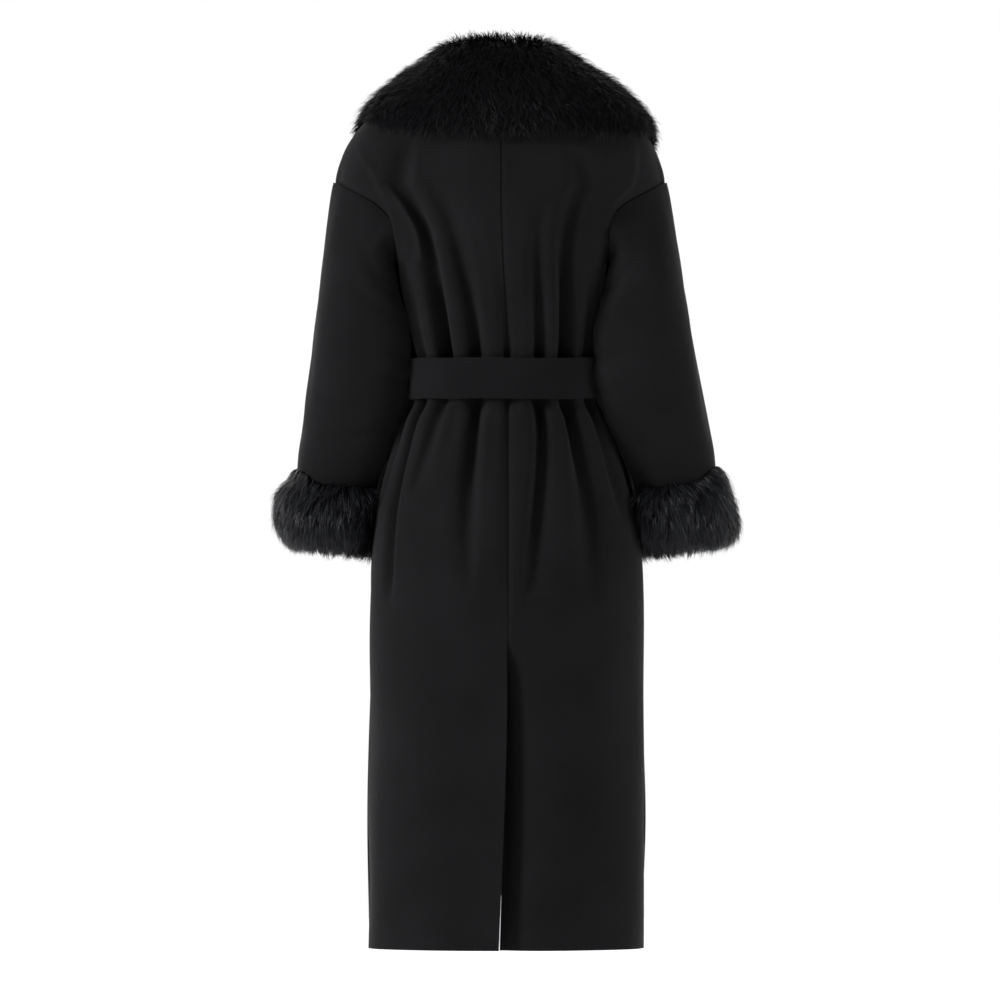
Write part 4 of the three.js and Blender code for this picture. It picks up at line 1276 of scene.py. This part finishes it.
@dataclass(frozen=True)
class Stage:
    """The camera, a seamless white backdrop and soft studio lights."""

    distance: float = 18.0
    mm_per_pixel: float = 1.37
    look_at: tuple[float, float] = (0.0041, -0.597)
    light_size: float = 1.2
    floor_z: float = -1.455

    def camera(self) -> None:
        """The camera behind the coat, at the photo's scale."""
        x, z = self.look_at
        data = bpy.data.cameras.new("camera")
        data.sensor_width = 36
        data.lens = 36 * self.distance / self.mm_per_pixel
        camera = bpy.data.objects.new("camera", data)
        camera.location = (x, self.distance, z)
        camera.rotation_euler = (math.radians(90), 0, math.radians(180))
        bpy.context.scene.collection.objects.link(camera)
        bpy.context.scene.camera = camera

    def backdrop(self) -> None:
        """A pale floor, and before the coat a white wall that lights it and that no camera sees."""
        turn = np.linspace(0, math.pi / 2, 24)
        bend = 1.4
        wall_y, wall_z = -1.6 - bend * np.sin(turn), -0.05 - bend * np.cos(turn)
        profiles = {
            "floor": ([9.0, -9.0], [self.floor_z, self.floor_z]),
            "wall": (np.append(wall_y, -1.6 - bend), np.append(wall_z, 6.0)),
        }
        material, tree = new_material("backdrop")
        glow = {"Base Color": (0.9, 0.9, 0.9, 1), "Roughness": 1.0}
        end_with_shader(tree, {**glow, "Emission Color": WHITE, "Emission Strength": 0.85})
        for name, (y, z) in profiles.items():
            y, z = np.array(y), np.array(z)
            rows = np.stack([np.stack([0 * y + x, y, z], -1) for x in (-7.0, 7.0)], 1) / MM
            thing = cloth_object(name, rows, OPEN, flip=True)
            thing.visible_camera = name == "floor"
            thing.data.materials.append(material)

    def sky(self) -> None:
        """A white world for the camera, that lights the coat only faintly."""
        world = bpy.data.worlds.new("world")
        world.use_nodes = True
        tree = world.node_tree
        tree.nodes.clear()
        faint, white = (
            add(tree, "ShaderNodeBackground", {"Color": WHITE, "Strength": strength}).outputs[0]
            for strength in (0.12, 1.0)
        )
        seen = add(tree, "ShaderNodeLightPath").outputs["Is Camera Ray"]
        mixed = add(tree, "ShaderNodeMixShader", {0: seen, 1: faint, 2: white}).outputs[0]
        add(tree, "ShaderNodeOutputWorld", {"Surface": mixed})
        bpy.context.scene.world = world

    def light(self, name: str, place: tuple[float, float, float], power: float) -> None:
        """A square soft light that looks at the coat's middle."""
        data = bpy.data.lights.new(name, "AREA")
        data.size = self.light_size
        data.energy = power
        lamp = bpy.data.objects.new(name, data)
        lamp.location = place
        aim = np.array([0, 0, -0.55]) - np.array(place)
        tilt, heading = math.atan2(math.hypot(aim[0], aim[1]), -aim[2]), math.atan2(-aim[0], aim[1])
        lamp.rotation_euler = (tilt, 0, heading)
        bpy.context.scene.collection.objects.link(lamp)

    def build(self) -> None:
        """Everything round the coat."""
        self.camera()
        self.backdrop()
        self.light("key", (4.0, 1.7, 1.0), 500)
        self.light("fill", (-4.0, 1.5, 0.5), 230)
        self.light("top", (0.2, 1.4, 3.4), 90)
        self.sky()
        bpy.context.scene.view_settings.view_transform = "Standard"


@dataclass(frozen=True)
class Cut:
    """The size that a piece of cloth was cut to, in metres and square metres."""

    width: float
    length: float
    area: float
    held: Hold


CUTS: dict[str, Cut] = {
    "back": Cut(0.34, 1.27, 0.34, Hold.GATHERED),
    "front": Cut(0.36, 1.27, 0.34, Hold.GATHERED),
    "sleeve": Cut(0.46, 0.55, 0.21, Hold.HUNG),
    "fur_cuff": Cut(0.5, 0.13, 0.062, Hold.STRETCHED),
    "fur_collar": Cut(1.45, 0.13, 0.16, Hold.DRAPED),
    "belt_band": Cut(0.82, 0.062, 0.048, Hold.STRETCHED),
    "belt_tail_left": Cut(0.06, 0.335, 0.018, Hold.HUNG),
    "belt_tail_right": Cut(0.06, 0.37, 0.02, Hold.HUNG),
}


@dataclass
class Coat:
    """The whole coat: builds each piece, finishes it and ties it to the CAD's nodes."""

    wool: Material = field(default_factory=lambda: WoolFinish("wool", Finish.WOOL).build())
    belt_wool: Material = field(
        default_factory=lambda: WoolFinish("belt_wool", Finish.BELT, nap=0.0009, sheen=0.05).build()
    )
    fur: Material = field(default_factory=lambda: FurFinish().build())
    collar_fur: Material = field(
        default_factory=lambda: FurFinish("collar_fur", Finish.COLLAR_DARK, Finish.COLLAR_LIGHT, 0.02).build()
    )
    pelt: Material = field(default_factory=lambda: FurFinish().pelt())

    def tie(self, thing: Object, slot: str, material: Material, *nodes: str) -> Object:
        """Gives a piece its material, hangs it from the root and hides the nodes that it stands for."""
        thing.data.materials.append(material)
        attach(thing, "root")
        if nodes:
            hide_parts(*nodes)
        return thing

    def declare(self, thing: Object, kind: str, rests_on: list[str], *pieces: Object) -> None:
        """Logs a piece's name, its number of corners and the area of its cut."""
        cut = CUTS[kind]
        LOG.info("%s: %d corners, cut %.4f m2", thing.name, len(thing.data.vertices), cut.area)

    def panels(self) -> None:
        """The four panels."""
        for side in Side:
            for is_back in (True, False):
                panel = Panel(side, is_back)
                columns, rows = panel.grid()
                points = panel.points(columns, rows)
                thing = cloth_object(f"{panel.name}_cloth", points, OPEN, side is Side.LEFT)
                thicken(thing, WALL)
                self.tie(thing, "wool", self.wool, panel.name)
                self.declare(thing, "back" if is_back else "front", ["belt_band"])

    def arms(self) -> None:
        """The sleeves and the fur cuffs over their ends."""
        for side in Side:
            sleeve = Sleeve(side)
            thing = cloth_object(f"sleeve_{side.word}_cloth", sleeve.points(), TUBE, side is Side.LEFT)
            thicken(thing, WALL)
            self.tie(thing, "wool", self.wool, f"sleeve_{side.word}")
            self.declare(thing, "sleeve", [f"back_{side.word}", f"front_{side.word}"])
            name = f"fur_cuff_{side.word}"
            surface = Cuff(sleeve).surface(CUFF_SINK)
            pelt = cloth_object(f"{name}_pelt", surface, TUBE, side is Side.LEFT)
            self.tie(pelt, "fur", self.pelt, name)
            fur = Fur(
                surface, lay=0, lay_sign=1, first=0.0, last=0.84, seed=50 + side.value,
                pile=8.5, length=24.0, tufts=1500, in_tuft=12, sag=3.0,
            )
            strands = self.tie(fur.make(f"{name}_strands"), "fur", self.fur)
            self.declare(pelt, "fur_cuff", [f"sleeve_{side.word}"], strands)

    def collar(self) -> None:
        """The fur collar: its pelt and its strands in three parts."""
        collar = Collar()
        surface = collar.surface(COLLAR_SINK)
        pelt = cloth_object("fur_collar_pelt", surface, TUBE)
        self.tie(pelt, "fur", self.pelt, "fur_collar")
        rows, front = len(surface), collar.front_steps
        spans = {
            "right": (0, front + 4),
            "back": (front - 2, rows - front + 2),
            "left": (rows - front - 4, rows),
        }
        strands = []
        for i, (name, (start, end)) in enumerate(spans.items()):
            fur = Fur(
                surface[start:end], lay=1, lay_sign=-1, first=0.4, last=0.97, seed=70 + i,
                pile=9.0, length=20.0, tufts=3600 if name == "back" else 2700, in_tuft=10, sag=1.0,
                gather=0.3, stray=0.34,
            )
            strands.append(self.tie(fur.make(f"fur_collar_strands_{name}"), "fur", self.collar_fur))
        self.declare(pelt, "fur_collar", ["back_left", "back_right"], *strands)

    def belt(self) -> None:
        """The belt's band, knot and ends."""
        belt = Belt()
        ring = cloth_object("belt_band_cloth", belt.band(), RING)
        band = self.tie(ring, "belt", self.belt_wool, "belt_band")
        knot = self.tie(capped("belt_knot_cloth", belt.knot()), "belt", self.belt_wool, "belt_knot")
        self.declare(band, "belt_band", ["back_left", "back_right"], knot)
        for side in Side:
            name = f"belt_tail_{side.word}"
            tail = self.tie(capped(f"{name}_cloth", belt.tail(side)), "belt", self.belt_wool, name)
            self.declare(tail, name, ["belt_knot"])

    def build(self) -> None:
        """All pieces."""
        self.panels()
        self.arms()
        self.collar()
        self.belt()


def main() -> None:
    """Builds the coat and its stage."""
    logging.basicConfig(level=logging.INFO, format="%(message)s")
    Stage().build()
    Coat().build()


if __name__ == "__main__":
    main()
